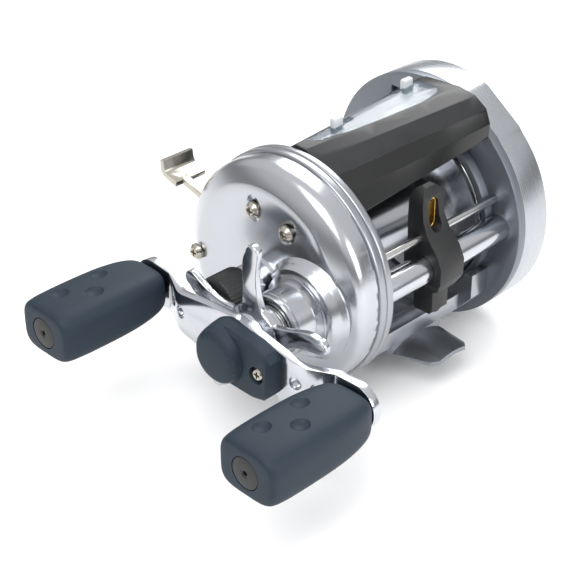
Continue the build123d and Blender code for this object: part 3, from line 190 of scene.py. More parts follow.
def apply_modifier(piece: bpy.types.Object, kind: str, **settings: object) -> None:
    """Add a modifier with its settings and apply it at once.

    Args:
        piece: The object.
        kind: The modifier's type.
        **settings: Its properties.
    """
    pick(piece)
    modifier = piece.modifiers.new(kind.title(), kind)
    for key, value in settings.items():
        setattr(modifier, key, value)
    bpy.ops.object.modifier_apply(modifier=modifier.name)


def soften(piece: bpy.types.Object, width: float = 0.12, angle: float = 35.0,
           segments: int = 2) -> None:
    """Round a piece's sharp edges and smooth its shading.

    Args:
        piece: The object.
        width: The bevel's width, in millimetres.
        angle: The least angle of an edge that is bevelled, in degrees.
        segments: How many facets go across the bevel.
    """
    apply_modifier(piece, "BEVEL", width=width * MM, segments=segments, limit_method="ANGLE",
                   angle_limit=math.radians(angle), harden_normals=False)
    smooth(piece, angle)


def smooth(piece: bpy.types.Object, angle: float = 35.0) -> None:
    """Shade a piece smooth but for its sharp edges.

    Args:
        piece: The object.
        angle: The angle past which an edge stays sharp, in degrees.
    """
    pick(piece)
    bpy.ops.object.shade_smooth_by_angle(angle=math.radians(angle))


def carve(piece: bpy.types.Object, cutters: Iterable[bpy.types.Object],
          way: str = "DIFFERENCE") -> None:
    """Cut one piece with others, which are then gone.

    Args:
        piece: The piece that is cut.
        cutters: What cuts it.
        way: The Boolean modifier's operation.
    """
    for cutter in cutters:
        apply_modifier(piece, "BOOLEAN", operation=way, object=cutter, solver="EXACT")
        bpy.data.objects.remove(cutter, do_unlink=True)


def peg(x0: float, x1: float, radius: float, y: float, z: float,
        facets: int = 32) -> bpy.types.Object:
    """Add a round bar along X with its place in its mesh.

    Args:
        x0: One end, in millimetres.
        x1: The other end.
        radius: Its radius.
        y: Its axis's place along Y.
        z: Its axis's place along Z.
        facets: How many sides it has.

    Returns:
        The bar.
    """
    clear_selection()
    bpy.ops.mesh.primitive_cylinder_add(vertices=facets, radius=radius * MM,
                                        depth=abs(x1 - x0) * MM, rotation=(0, math.pi / 2, 0))
    bar = bpy.context.object
    bpy.ops.object.transform_apply(location=True, rotation=True, scale=True)
    bar.data.transform(Matrix.Translation(Vector(((x0 + x1) / 2, y, z)) * MM))
    return bar


def block(low: Point, high: Point) -> bpy.types.Object:
    """Add a box between two corners with its place in its mesh.

    Args:
        low: The lowest corner, in millimetres.
        high: The highest corner.

    Returns:
        The box.
    """
    clear_selection()
    bpy.ops.mesh.primitive_cube_add(size=1.0)
    box = bpy.context.object
    size = [(b - a) * MM for a, b in zip(low, high)]
    middle = [(a + b) / 2 * MM for a, b in zip(low, high)]
    box.data.transform(Matrix.Translation(Vector(middle)) @ Matrix.Diagonal((*size, 1)))
    return box


def joined(name: str, pieces: Sequence[bpy.types.Object]) -> bpy.types.Object:
    """Join pieces into one object.

    Args:
        name: The new name.
        pieces: What is joined.

    Returns:
        The joined piece.
    """
    pick(pieces[0])
    for piece in pieces[1:]:
        piece.select_set(True)
    bpy.ops.object.join()
    bpy.context.object.name = name
    return bpy.context.object


def fair_copy(name: str, node: str, width: float = 0.1, angle: float = 32.0,
              segments: int = 2) -> bpy.types.Object:
    """Make a smooth, soft-edged piece from a CAD node's shape.

    Args:
        name: The new piece's name.
        node: The CAD node.
        width: The bevel's width, in millimetres; 0 leaves its edges sharp.
        angle: The least angle of an edge that counts as sharp, in degrees.
        segments: How many facets go across the bevel.

    Returns:
        The new piece.
    """
    source = frame["nodes"][node]
    piece = bpy.data.objects.new(name, source.data.copy())
    bpy.context.scene.collection.objects.link(piece)
    piece.data.materials.clear()
    pick(piece)
    bpy.ops.object.mode_set(mode="EDIT")
    bpy.ops.mesh.select_all(action="SELECT")
    bpy.ops.mesh.remove_doubles(threshold=2e-6)
    bpy.ops.mesh.dissolve_limited(angle_limit=math.radians(0.6), delimit={"NORMAL"})
    bpy.ops.object.mode_set(mode="OBJECT")
    if width > 0:
        apply_modifier(piece, "BEVEL", width=width * MM, segments=segments, limit_method="ANGLE",
                       angle_limit=math.radians(angle), use_clamp_overlap=True)
    smooth(piece, angle)
    return piece


def settle(piece: bpy.types.Object, body: str, finish: "Finish",
           nodes: Sequence[str] = ()) -> bpy.types.Object:
    """Dress a finished piece, and hang it on its body.

    Args:
        piece: The piece.
        body: The CAD body that it rides on.
        finish: Its finish.
        nodes: The CAD nodes that it stands for.

    Returns:
        The piece.
    """
    piece.data.materials.clear()
    piece.data.materials.append(finish.material())
    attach(piece, body)
    if nodes:
        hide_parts(*nodes)
    LOG.info("%s rides on %s: %d faces", piece.name, body, len(piece.data.polygons))
    return piece


# ---------------------------------------------------------------- finishes
class Pattern(Enum):
    """How a surface was worked, which sets what its fine relief looks like."""

    TURNED = "fine rings round the spool axis"
    BRUSHED = "fine lines along the spool axis"
    GRAIN = "an even moulded or blasted grain"
    SMOOTH = "polished, with a faint haze"


def linear(code: str) -> tuple[float, float, float, float]:
    """Turn an sRGB hex colour to linear.

    Args:
        code: Six hex digits.

    Returns:
        Its linear red, green, blue and alpha.
    """
    parts = [int(code[i:i + 2], 16) / 255 for i in (0, 2, 4)]
    flat = [p / 12.92 if p <= 0.04045 else ((p + 0.055) / 1.055) ** 2.4 for p in parts]
    return (*flat, 1.0)


def add_node(tree: bpy.types.NodeTree, kind: str, settings: dict | None = None,
             links: dict | None = None, **values: object) -> bpy.types.Node:
    """Add a node with its settings, its sockets' values and its links.

    Args:
        tree: The node tree.
        kind: The node's type.
        settings: The node's own properties.
        links: Input name or number to the output socket that feeds it.
        **values: Input name, with _ for a space, to its constant.

    Returns:
        The node.
    """
    node = tree.nodes.new(kind)
    for key, value in (settings or {}).items():
        setattr(node, key, value)
    for key, value in values.items():
        node.inputs[key.replace("_", " ")].default_value = value
    for key, socket in (links or {}).items():
        tree.links.new(socket, node.inputs[key])
    return node


CLOUD_PER_MM = 0.12  # how quickly the tone drifts over a surface
ROUGH_LOW, ROUGH_HIGH = 0.82, 1.18  # how far the relief sways the roughness


@dataclass(frozen=True)
class Finish:
    """One real material with its worked surface.

    Colour and roughness drift slightly over the surface, as handling and machining leave them.
    """

    name: str
    colour: str
    metallic: float
    roughness: float
    pattern: Pattern = Pattern.GRAIN
    pitch_mm: float = 0.4
    relief_mm: float = 0.004
    drift: float = 0.10
    transmission: float = 0.0
    alpha: float = 1.0
    ior: float = 1.5
    centre: tuple[float, float] = (0.0, 0.0)

    def material(self) -> bpy.types.Material:
        """Give this finish's material, made once."""
        known = bpy.data.materials.get(self.name)
        return known if known else self.build()

    def build(self) -> bpy.types.Material:
        """Make the node tree."""
        made = bpy.data.materials.new(self.name)
        made.use_nodes = True
        tree = made.node_tree
        tree.nodes.clear()
        place = add_node(tree, "ShaderNodeTexCoord").outputs["Object"]
        relief = self.relief_socket(tree, place)
        cloud = add_node(tree, "ShaderNodeTexNoise", links={"Vector": place},
                         Scale=CLOUD_PER_MM / MM, Detail=3.0)
        tone = add_node(tree, "ShaderNodeMapRange", links={"Value": cloud.outputs["Fac"]},
                        To_Min=1 - self.drift, To_Max=1 + self.drift * 0.6)
        base = add_node(tree, "ShaderNodeMix", {"data_type": "RGBA", "blend_type": "MULTIPLY"})
        base.inputs["Factor"].default_value = 1.0
        base.inputs["A"].default_value = linear(self.colour)
        tree.links.new(tone.outputs["Result"], base.inputs["B"])
        rough = add_node(tree, "ShaderNodeMapRange", links={"Value": relief},
                         To_Min=max(0.02, self.roughness * ROUGH_LOW),
                         To_Max=min(1.0, self.roughness * ROUGH_HIGH))
        bump = add_node(tree, "ShaderNodeBump", links={"Height": relief}, Strength=1.0,
                        Distance=self.relief_mm * MM)
        shader = add_node(tree, "ShaderNodeBsdfPrincipled",
                          links={"Base Color": base.outputs["Result"],
                                 "Roughness": rough.outputs["Result"],
                                 "Normal": bump.outputs["Normal"]},
                          Metallic=self.metallic, IOR=self.ior,
                          Transmission_Weight=self.transmission, Alpha=self.alpha)
        add_node(tree, "ShaderNodeOutputMaterial", links={"Surface": shader.outputs["BSDF"]})
        return made

    def relief_socket(self, tree: bpy.types.NodeTree,
                      place: bpy.types.NodeSocket) -> bpy.types.NodeSocket:
        """Add the worked surface's pattern.

        Args:
            tree: The node tree.
            place: The point on the piece, in metres.

        Returns:
            A 0 to 1 pattern, for the roughness and the bump alike.
        """
        if self.pattern in (Pattern.GRAIN, Pattern.SMOOTH):
            return self.noise(tree, place, 4.0, 0.6)
        if self.pattern is Pattern.BRUSHED:
            drawn = add_node(tree, "ShaderNodeMapping", links={"Vector": place},
                             Scale=(0.04, 1.0, 1.0))
            return self.noise(tree, drawn.outputs["Vector"], 5.0, 0.7)
        centred = add_node(tree, "ShaderNodeMapping", links={"Vector": place},
                           Location=(0.0, -self.centre[0], -self.centre[1]))
        parts = add_node(tree, "ShaderNodeSeparateXYZ",
                         links={"Vector": centred.outputs["Vector"]})
        flat = add_node(tree, "ShaderNodeCombineXYZ",
                        links={"Y": parts.outputs["Y"], "Z": parts.outputs["Z"]})
        radius = add_node(tree, "ShaderNodeVectorMath", {"operation": "LENGTH"},
                          links={"Vector": flat.outputs["Vector"]})
        rings = add_node(tree, "ShaderNodeCombineXYZ",
                         links={"X": parts.outputs["X"], "Y": radius.outputs["Value"]})
        return self.noise(tree, rings.outputs["Vector"], 4.0, 0.65)

    def noise(self, tree: bpy.types.NodeTree, place: bpy.types.NodeSocket, detail: float,
              roughness: float) -> bpy.types.NodeSocket:
        """Add noise as fine as this finish's pitch.

        Args:
            tree: The node tree.
            place: Where it is sampled.
            detail: How many finer layers it has.
            roughness: How strong the finer layers are.

        Returns:
            Its 0 to 1 value.
        """
        made = add_node(tree, "ShaderNodeTexNoise", links={"Vector": place},
                        Scale=1 / (self.pitch_mm * MM), Detail=detail, Roughness=roughness)
        return made.outputs["Fac"]


AXIS = (SPOOL.y, SPOOL.z)
DRIVE_AXIS = (DRIVE.y, DRIVE.z)
# Anodised die-cast aluminium, satin: soft, slightly grey highlights.
SATIN_ALUMINIUM = Finish("satin anodised aluminium", "A3A5AA", 1.0, 0.32, Pattern.TURNED, 0.35,
                         0.003, centre=AXIS)
# Turned and buffed aluminium: bright, with a haze that follows the lathe's rings.
POLISHED_ALUMINIUM = Finish("buffed turned aluminium", "BCBEC3", 1.0, 0.21, Pattern.TURNED, 0.5,
                            0.0015, centre=AXIS, drift=0.05)
# The far cover's rim carries fine lathe lines that catch the light.
LINED_ALUMINIUM = Finish("fine-turned aluminium", "B4B7BC", 1.0, 0.27, Pattern.TURNED, 0.45,
                         0.012, centre=AXIS)
# Far plate and gear bridge: satin grey paint over the casting.
GREY_PAINT = Finish("satin grey paint on casting", "7B8087", 0.85, 0.42, Pattern.GRAIN, 0.3, 0.004)
# Foot: blasted and anodised sheet.
FOOT_METAL = Finish("blasted anodised sheet", "8F9297", 1.0, 0.38, Pattern.GRAIN, 0.22, 0.005)
# Chrome plate: bright, with slightly softened reflections.
CHROME = Finish("chrome plate", "BFC1C6", 1.0, 0.17, Pattern.SMOOTH, 1.2, 0.0006, drift=0.03)
BARREL_CHROME = Finish("turned chrome plate", "BABCC1", 1.0, 0.21, Pattern.TURNED, 0.4, 0.0015,
                       centre=DRIVE_AXIS, drift=0.04)
# Ground stainless steel for shafts, rods and screws.
STAINLESS = Finish("ground stainless steel", "BDBDBC", 1.0, 0.24, Pattern.BRUSHED, 0.25, 0.002)
NICKEL = Finish("nickel-plated steel", "B9B4A9", 1.0, 0.22, Pattern.GRAIN, 0.5, 0.002)
BRASS = Finish("machined brass", "C9A55A", 1.0, 0.27, Pattern.GRAIN, 0.4, 0.002)
# Filled nylon and ABS: near-black, satin, with a spark-eroded mould grain.
CHARCOAL = Finish("charcoal moulded nylon", "1A1B1E", 0.0, 0.36, Pattern.GRAIN, 0.25, 0.008)
GLOSS_BLACK = Finish("gloss black nylon", "0E0F10", 0.0, 0.24, Pattern.GRAIN, 0.6, 0.002)
MATT_BLACK = Finish("matt black nylon", "101113", 0.0, 0.50, Pattern.GRAIN, 0.2, 0.008)
# Soft-touch rubber paint on the knobs and nut cover: slate, wide soft highlights.
SLATE_RUBBER = Finish("soft-touch slate rubber", "1D2A36", 0.0, 0.58, Pattern.GRAIN, 0.22, 0.006,
                      ior=1.38)
# Acrylic window: blue-grey and clear.
ACRYLIC = Finish("tinted acrylic", "A9BCCB", 0.0, 0.10, Pattern.SMOOTH, 2.0, 0.0006, drift=0.02,
                 transmission=0.75, alpha=0.62, ior=1.49)
FROSTED = Finish("frosted acrylic", "E6EAEC", 0.0, 0.45, Pattern.GRAIN, 0.2, 0.004,
                 transmission=0.3, ior=1.49)
WHITE_NYLON = Finish("white acetal", "E4E3DD", 0.0, 0.38, Pattern.GRAIN, 0.3, 0.003)
PRINT_INK = Finish("black print ink", "101010", 0.0, 0.5, Pattern.GRAIN, 0.3, 0.001)
DRAG_FIBRE = Finish("pressed fibre", "4C443B", 0.0, 0.8, Pattern.GRAIN, 0.18, 0.02)


# ---------------------------------------------------------------- sub-assemblies
@dataclass
class FrameSet:
    """The ring, far plate, cross bars and foot."""

    groove: float = 0.28
    ridge_round: float = 0.5
    ring_wall: float = 6.8
    bevel: float = 0.22

    def build(self) -> None:
        """Make every piece of the frame."""
        self.ring()
        self.plain_pieces()

    def ring(self) -> None:
        """Turn the handle-side ring, with its two ridges and the groove between."""
        x0, x1 = span("frame_ring", 0)
        outer = (span("frame_ring", 2)[1] - span("frame_ring", 2)[0]) / 2
        bore = outer - self.ring_wall
        middle = (x0 + x1) / 2
        soft = self.ridge_round
        rim = [(x0, bore), (x0, outer - 0.75),
               *arc_profile((x0 + 0.45, outer - 0.6), soft, 180, 90, 4),
               *arc_profile((middle - 0.45, outer - 0.6), soft, 90, 0, 4),
               (middle, outer - self.groove - 0.75),
               *arc_profile((middle + soft, outer - soft), soft, 180, 90, 4),
               *arc_profile((x1 - soft, outer - soft), soft, 90, 0, 4), (x1, bore)]
        ring = turn("frame_ring_turned", rim, SPOOL, 192)
        smooth(ring, 40)
        settle(ring, "frame", SATIN_ALUMINIUM, ["frame_ring"])

    def plain_pieces(self) -> None:
        """Carry over the cast and pressed pieces with soft edges."""
        for name, node, slot, finish, width in (
                ("far_end_plate", "frame_far_plate", "satin_grey", GREY_PAINT, 0.15),
                ("front_cross_bar", "frame_bar_front", "satin_silver", SATIN_ALUMINIUM, self.bevel),
                ("rear_cross_bar", "frame_bar_rear", "satin_silver", SATIN_ALUMINIUM, self.bevel),
                ("rear_pillar", "thumb_bar", "satin_silver", SATIN_ALUMINIUM, 0.1),
                ("saddle_foot", "reel_foot", "satin_silver", FOOT_METAL, 0.3),
                ("foot_rivet_heads", "foot_rivets", "steel", STAINLESS, 0.2)):
            piece = fair_copy(name, node, width)
            settle(piece, "frame", finish, [node])


@dataclass
class HandleSide:
    """The polished cup, its gear case, barrel, screws and thumb tab."""

    wall: float = 1.2
    bowl: float = 3.1
    depth: float = 8.9
    crown: float = 1.1
    corner: float = 3.4
    inner_flat: float = 14.0
    shaft_bore: float = 3.2
    case_height: float = 2.6

    def build(self) -> None:
        """Make every piece on the handle side."""
        self.cover()
        self.barrel()
        self.carry_over()

    def cover(self) -> None:
        """Turn the domed cup, raise the gear case on it and sink the screw bowls."""
        ring_face = span("frame_ring", 0)[0]
        edge = (span("handle_side_cover", 1)[1] - span("handle_side_cover", 1)[0]) / 2
        face = ring_face - self.depth
        crown = face + self.crown
        shoulder = edge - 4.3
        outer = [(ring_face, edge), (ring_face - 3.3, edge),
                 *arc_profile((ring_face - self.corner, edge - self.corner), self.corner,
                              90, 142, 7)[1:],
                 (crown, shoulder)]
        for k in range(1, 7):
            swing = math.radians(k * 90 / 7)
            outer.append((crown - self.crown * math.sin(swing), shoulder * math.cos(swing)))
        outer.append((face, 0.0))
        inner = [(face + self.wall, 0.0), (face + self.wall, self.inner_flat),
                 (crown + self.wall, edge - 4.6), (ring_face - self.corner, edge - self.wall),
                 (ring_face, edge - self.wall)]
        cup = turn("handle_side_cup", outer + inner, SPOOL, 192)
        hood = self.gear_case(face)
        carve(cup, [hood], "UNION")
        y, z = SPOOL.y / MM, SPOOL.z / MM
        carve(cup, [peg(face - 6, face + 2.4, 6.85, DRIVE.y / MM, DRIVE.z / MM, 96),
                    peg(face - 8, face - 0.02, 7.4, y, z, 96)])
        carve(cup, [peg(face - 3, face + 3, self.shaft_bore, y, z, 64)])
        carve(cup, self.bowls(face))
        self.tab_slot(cup, ring_face)
        soften(cup, 0.16, 28, 3)
        settle(cup, "frame", POLISHED_ALUMINIUM, ["handle_side_cover"])
        self.collar(face)

    def gear_case(self, face: float) -> bpy.types.Object:
        """Turn the raised gear case about the handle axis.

        Args:
            face: The cup's face along X.

        Returns:
            The solid that is joined to the cup.
        """
        foot, top = face + self.crown, face - self.case_height
        rise = [(foot, 0.0), (foot, 12.2), (face + 0.6, 12.3), (face - 0.2, 11.6),
                (face - 0.9, 11.0), (top + 0.5, 10.6), (top + 0.1, 10.2), (top, 9.7), (top, 0.0)]
        return turn("gear_case", rise, DRIVE, 160)

    def bowls(self, face: float) -> list[bpy.types.Object]:
        """Make the cutters for the three teardrop screw bowls.

        Args:
            face: The cup's face along X.

        Returns:
            The cutters, one for each screw.
        """
        cutters = []
        for y, z in screw_places("face_screws"):
            clear_selection()
            bpy.ops.mesh.primitive_uv_sphere_add(segments=40, ring_count=24, radius=self.bowl * MM)
            ball = bpy.context.object
            out = math.atan2(z - SPOOL.z / MM, y - SPOOL.y / MM)
            ball.data.transform(Matrix.Diagonal((0.52, 1.35, 0.95, 1)))
            ball.data.transform(Matrix.Rotation(out, 4, "X"))
            ball.data.transform(Matrix.Translation(Vector((face - 0.6, y + math.cos(out) * 0.7,
                                                           z + math.sin(out) * 0.7)) * MM))
            cutters.append(ball)
        return cutters

    def tab_slot(self, cup: bpy.types.Object, ring_face: float) -> None:
        """Cut the slot that the thumb tab moves in.

        Args:
            cup: The turned cup.
            ring_face: The frame ring's outer face along X.
        """
        z0 = SPOOL.z / MM + 3.5
        carve(cup, [block((ring_face - 4.2, 20.5, z0), (ring_face + 0.5, 29.5, z0 + 12.0))])

    def collar(self, face: float) -> None:
        """Turn the bright collar behind the tension cap.

        Args:
            face: The cup's face along X.
        """
        cap_start = span("cast_control_cap", 0)[1]
        step = [(face + 0.3, 3.3), (face + 0.3, 6.2), (face - 0.3, 6.2), (face - 0.9, 5.5),
                (cap_start + 1.6, 5.4), (cap_start + 1.2, 5.0), (cap_start + 0.7, 5.4),
                (cap_start + 0.05, 5.4), (cap_start + 0.05, 4.3), (cap_start - 5.0, 4.3),
                (cap_start - 5.0, 3.3)]
        collar = turn("tension_cap_collar", step, SPOOL, 96)
        smooth(collar, 30)
        settle(collar, "frame", BARREL_CHROME)

    def barrel(self) -> None:
        """Turn the stepped barrel that the handle's sleeve runs in."""
        x0, x1 = span("drive_bushing", 0)
        top = x1 - 2.4
        outline = [(x1, 5.6), (x1, 6.7), (top, 6.7), (top, 9.1), (top - 0.4, 9.15),
                   (top - 0.6, 8.8), (top - 0.9, 8.9), (top - 1.2, 8.2), (top - 1.7, 7.6),
                   (x0 + 1.5, 7.5), (x0 + 1.3, 7.25), (x0 + 1.1, 7.5), (x0 + 0.3, 7.5),
                   (x0, 7.2), (x0, 6.5), (x0 + 0.35, 6.35), (x0 + 0.35, 5.5)]
        barrel = turn("drive_barrel", outline, DRIVE, 128)
        carve(barrel, [peg(x0 - 1, top + 0.02, 6.3, SPOOL.y / MM, SPOOL.z / MM, 96)])
        smooth(barrel, 30)
        settle(barrel, "frame", BARREL_CHROME, ["drive_bushing"])

    def carry_over(self) -> None:
        """Carry over the screws, tab and inner plates with soft edges."""
        for name, node, body, slot, finish, width in (
                ("face_screw_heads", "face_screws", "frame", "nickel", NICKEL, 0.12),
                ("gear_bridge_plate", "gear_plate", "frame", "satin_grey", GREY_PAINT, 0.0),
                ("one_way_clutch", "roller_clutch", "frame", "steel", STAINLESS, 0.08),
                ("thumb_release_tab", "thumb_tab", "thumb_release", "nickel", NICKEL, 0.2),
                ("clutch_yoke_plate", "yoke", "clutch_yoke", "black", MATT_BLACK, 0.05),
                ("pinion_gear_cut", "pinion", "pinion_gear", "gear_brass", BRASS, 0.0),
                ("ball_bearings", "spool_bearings", "frame", "steel", STAINLESS, 0.04)):
            settle(fair_copy(name, node, width), body, finish, [node])


def screw_places(node: str) -> list[tuple[float, float]]:
    """Find where the separate solids of a node lie.

    Args:
        node: A node whose solids are screws along X.

    Returns:
        Each solid's middle, as (y, z) in millimetres.
    """
    mesh = bmesh.new()
    mesh.from_mesh(frame["nodes"][node].data)
    bmesh.ops.remove_doubles(mesh, verts=mesh.verts, dist=2e-6)
    left = set(mesh.verts)
    places = []
    while left:
        seen: set = set()
        waiting = [next(iter(left))]
        while waiting:
            vertex = waiting.pop()
            if vertex not in seen:
                seen.add(vertex)
                waiting += [edge.other_vert(vertex) for edge in vertex.link_edges]
        left -= seen
        ys = [v.co.y for v in seen]
        zs = [v.co.z for v in seen]
        places.append(((min(ys) + max(ys)) / 2 / MM, (min(zs) + max(zs)) / 2 / MM))
    mesh.free()
    return places


@dataclass
class CrankSet:
    """The handle blade, its nut cover, the drive train on its shaft, and the knobs."""

    dimple: float = 2.3
    dimple_spots: tuple[tuple[float, float], ...] = ((0.58, -2.3), (0.77, 2.5), (0.41, 2.9))
    knob_bevel: float = 0.35
    inset: float = 0.15
    squareness: float = 4.2
    fill: float = 0.985
    cap_seat: float = 3.62
    spindle_bore: float = 1.75

    def build(self) -> None:
        """Make every piece that turns with the handle."""
        self.carry_over()
        for side in ("front", "rear"):
            self.knob(side)
            self.knob_cap(side)

    def carry_over(self) -> None:
        """Carry over the pressed and turned pieces with soft edges."""
        for name, node, slot, finish, width in (
                ("handle_blade_plate", "handle_blade", "bright", CHROME, 0.28),
                ("handle_nut_hex", "handle_nut", "nickel", NICKEL, 0.15),
                ("nut_cover_shell", "nut_cover", "slate", SLATE_RUBBER, 0.4),
                ("nut_cover_screw_head", "nut_cover_screw", "nickel", NICKEL, 0.12),
                ("handle_shaft", "drive_shaft", "steel", STAINLESS, 0.12),
                ("main_gear_cut", "main_gear", "gear_brass", BRASS, 0.0),
                ("drag_washer_stack", "drag_washers", "fibre", DRAG_FIBRE, 0.05),
                ("clutch_sleeve_turned", "clutch_sleeve", "steel", STAINLESS, 0.1),
                ("knob_spindle_pair", "knob_spindles", "steel", STAINLESS, 0.15)):
            settle(fair_copy(name, node, width, segments=3), "crank", finish, [node])

    def knob(self, side: str) -> None:
        """Model a paddle knob: a stretched ring raised section by section, smoothed, then dimpled.

        Args:
            side: "front" or "rear".
        """
        node = f"knob_{side}"
        x0, x1 = span(node, 0)
        wide = (span(node, 1)[1] - span(node, 1)[0]) / 2 - self.inset
        thick = (span(node, 2)[1] - span(node, 2)[0]) / 2 - self.inset
        place = KNOBS[side]
        length = x1 - x0
        # Each section's share of the length from the root, of the width and of the thickness.
        stations = ((0.0, 0.56, 0.60), (0.015, 0.68, 0.72), (0.06, 0.79, 0.82), (0.14, 0.88, 0.90),
                    (0.28, 0.96, 0.97), (0.45, 1.0, 1.0), (0.80, 1.0, 1.0), (0.93, 0.97, 0.97),
                    (0.975, 0.93, 0.93), (0.995, 0.86, 0.86), (1.0, 0.72, 0.74))
        clear_selection()
        bpy.ops.mesh.primitive_circle_add(vertices=40, radius=MM, fill_type="NGON",
                                          rotation=(0, math.pi / 2, 0))
        knob = bpy.context.object
        knob.name = f"{side}_knob_grip"
        bpy.ops.object.transform_apply(location=True, rotation=True, scale=True)
        knob.data.transform(Matrix.Diagonal((1, wide * stations[0][1], thick * stations[0][2], 1)))
        knob.data.transform(Matrix.Translation(Vector((x1 * MM, place.y, place.z))))
        bpy.ops.object.mode_set(mode="EDIT")
        bpy.ops.mesh.select_all(action="SELECT")
        for before, after in zip(stations, stations[1:]):
            bpy.ops.mesh.extrude_region_move(
                TRANSFORM_OT_translate={"value": (-(after[0] - before[0]) * length * MM, 0, 0)})
            bpy.ops.transform.resize(value=(1, after[1] / before[1], after[2] / before[2]),
                                     center_override=(0, place.y, place.z))
        bpy.ops.mesh.select_all(action="SELECT")
        bpy.ops.mesh.normals_make_consistent(inside=False)
        bpy.ops.object.mode_set(mode="OBJECT")
        self.square_up(knob, place, wide, thick)
        apply_modifier(knob, "SUBSURF", levels=2, render_levels=2)
        y, z = place.y / MM, place.z / MM
        carve(knob, self.dimples(x0, length, y, z, thick))
        carve(knob, [peg(x0 - 1, x0 + 1.0, self.cap_seat, y, z, 64),
                     peg(x0 + 0.5, x1 + 1, self.spindle_bore, y, z, 48)])
        soften(knob, self.knob_bevel, 24, 3)
        settle(knob, f"{side}_knob", SLATE_RUBBER, [node])

    def square_up(self, knob: bpy.types.Object, place: Vector, wide: float, thick: float) -> None:
        """Push a knob's round sections towards a soft rectangle, as a paddle has.

        Args:
            knob: The knob.
            place: Its spindle's place.
            wide: Its half width, in millimetres.
            thick: Its half thickness.
        """
        for vertex in knob.data.vertices:
            across = Vector((0, (vertex.co.y - place.y) / wide, (vertex.co.z - place.z) / thick))
            size = across.length
            if size > 1e-9:
                angle = math.atan2(across.z, across.y)
                power = self.squareness
                reach = (abs(math.cos(angle)) ** power
                         + abs(math.sin(angle)) ** power) ** (-1 / power)
                vertex.co.y = place.y + across.y * wide * reach * self.fill
                vertex.co.z = place.z + across.z * thick * reach * self.fill

    def dimples(self, x0: float, length: float, y: float, z: float,
                thick: float) -> list[bpy.types.Object]:
        """Make the cutters for three oval finger dimples on each broad side.

        Args:
            x0: The knob's outer end along X.
            length: The knob's length.
            y: Its spindle's place along Y.
            z: Its spindle's place along Z.
            thick: Its half thickness.

        Returns:
            The cutters.
        """
        cutters = []
        for way in (-1, 1):
            for share, offset in self.dimple_spots:
                clear_selection()
                bpy.ops.mesh.primitive_uv_sphere_add(segments=40, ring_count=24,
                                                     radius=self.dimple * MM)
                oval = bpy.context.object
                oval.data.transform(Matrix.Diagonal((1.0, 0.92, 0.6, 1)))
                middle = Vector((x0 + length * (1 - share), y + offset, z + way * (thick + 0.45)))
                oval.data.transform(Matrix.Translation(middle * MM))
                cutters.append(oval)
        return cutters

    def knob_cap(self, side: str) -> None:
        """Turn a knob's end cap, with its small centre hole.

        Args:
            side: "front" or "rear".
        """
        node = f"knob_cap_{side}"
        x0, x1 = span(node, 0)
        outline = [(x1, 0.0), (x1, 3.55), (x0 + 0.35, 3.55), (x0 + 0.1, 3.42), (x0, 3.1),
                   (x0, 1.0), (x0 + 0.12, 0.8), (x0 + 0.12, 0.55), (x0 + 0.7, 0.5),
                   (x0 + 0.7, 0.0)]
        cap = turn(f"{side}_knob_end_cap", outline, KNOBS[side], 64)
        smooth(cap, 30)
        settle(cap, f"{side}_knob", MATT_BLACK, [node])


@dataclass
class StarWheel:
    """The five-armed drag star."""

    bevel: float = 0.45

    def build(self) -> None:
        """Carry over the star with well-rounded edges."""
        star = fair_copy("star_drag_wheel", "star_drag", self.bevel, 30, 3)
        settle(star, "star_wheel", CHROME, ["star_drag"])


@dataclass
class TensionCap:
    """The ribbed cast-control cap."""

    ribs: int = 44
    rib_depth: float = 0.14
    bore: float = 4.5

    def build(self) -> None:
        """Turn the cap with a ring of flutes cut along it."""
        x0, x1 = span("cast_control_cap", 0)
        radius = (span("cast_control_cap", 1)[1] - span("cast_control_cap", 1)[0]) / 2
        outline = [(x1, self.bore), (x1, radius - 0.35), (x1 - 0.35, radius), (x0 + 0.9, radius),
                   (x0 + 0.25, radius - 0.5), (x0, radius - 1.1), (x0 + 0.15, radius - 1.7),
                   (x0 + 0.15, 0.0), (x0 + 1.6, 0.0), (x0 + 1.6, self.bore)]
        cap = turn("tension_cap_shell", outline, SPOOL, self.ribs * 4)
        self.flute(cap, x0, x1, radius)
        smooth(cap, 40)
        settle(cap, "tension_cap", MATT_BLACK, ["cast_control_cap"])

    def flute(self, cap: bpy.types.Object, x0: float, x1: float, radius: float) -> None:
        """Sink every other pair of facets, which leaves fine ribs.

        Args:
            cap: The turned cap.
            x0: Its outer end.
            x1: Its inner end.
            radius: Its radius.
        """
        for vertex in cap.data.vertices:
            across = Vector((0, vertex.co.y - SPOOL.y, vertex.co.z - SPOOL.z))
            on_rim = abs(across.length / MM - radius) < 0.05
            if on_rim and x0 + 0.4 < vertex.co.x / MM < x1 - 0.1:
                angle = math.atan2(across.z, across.y) / (2 * math.pi)
                wave = math.cos(2 * math.pi * angle * self.ribs)
                depth = self.rib_depth * (1 - wave)
                vertex.co.y -= across.normalized().y * depth * MM
                vertex.co.z -= across.normalized().z * depth * MM


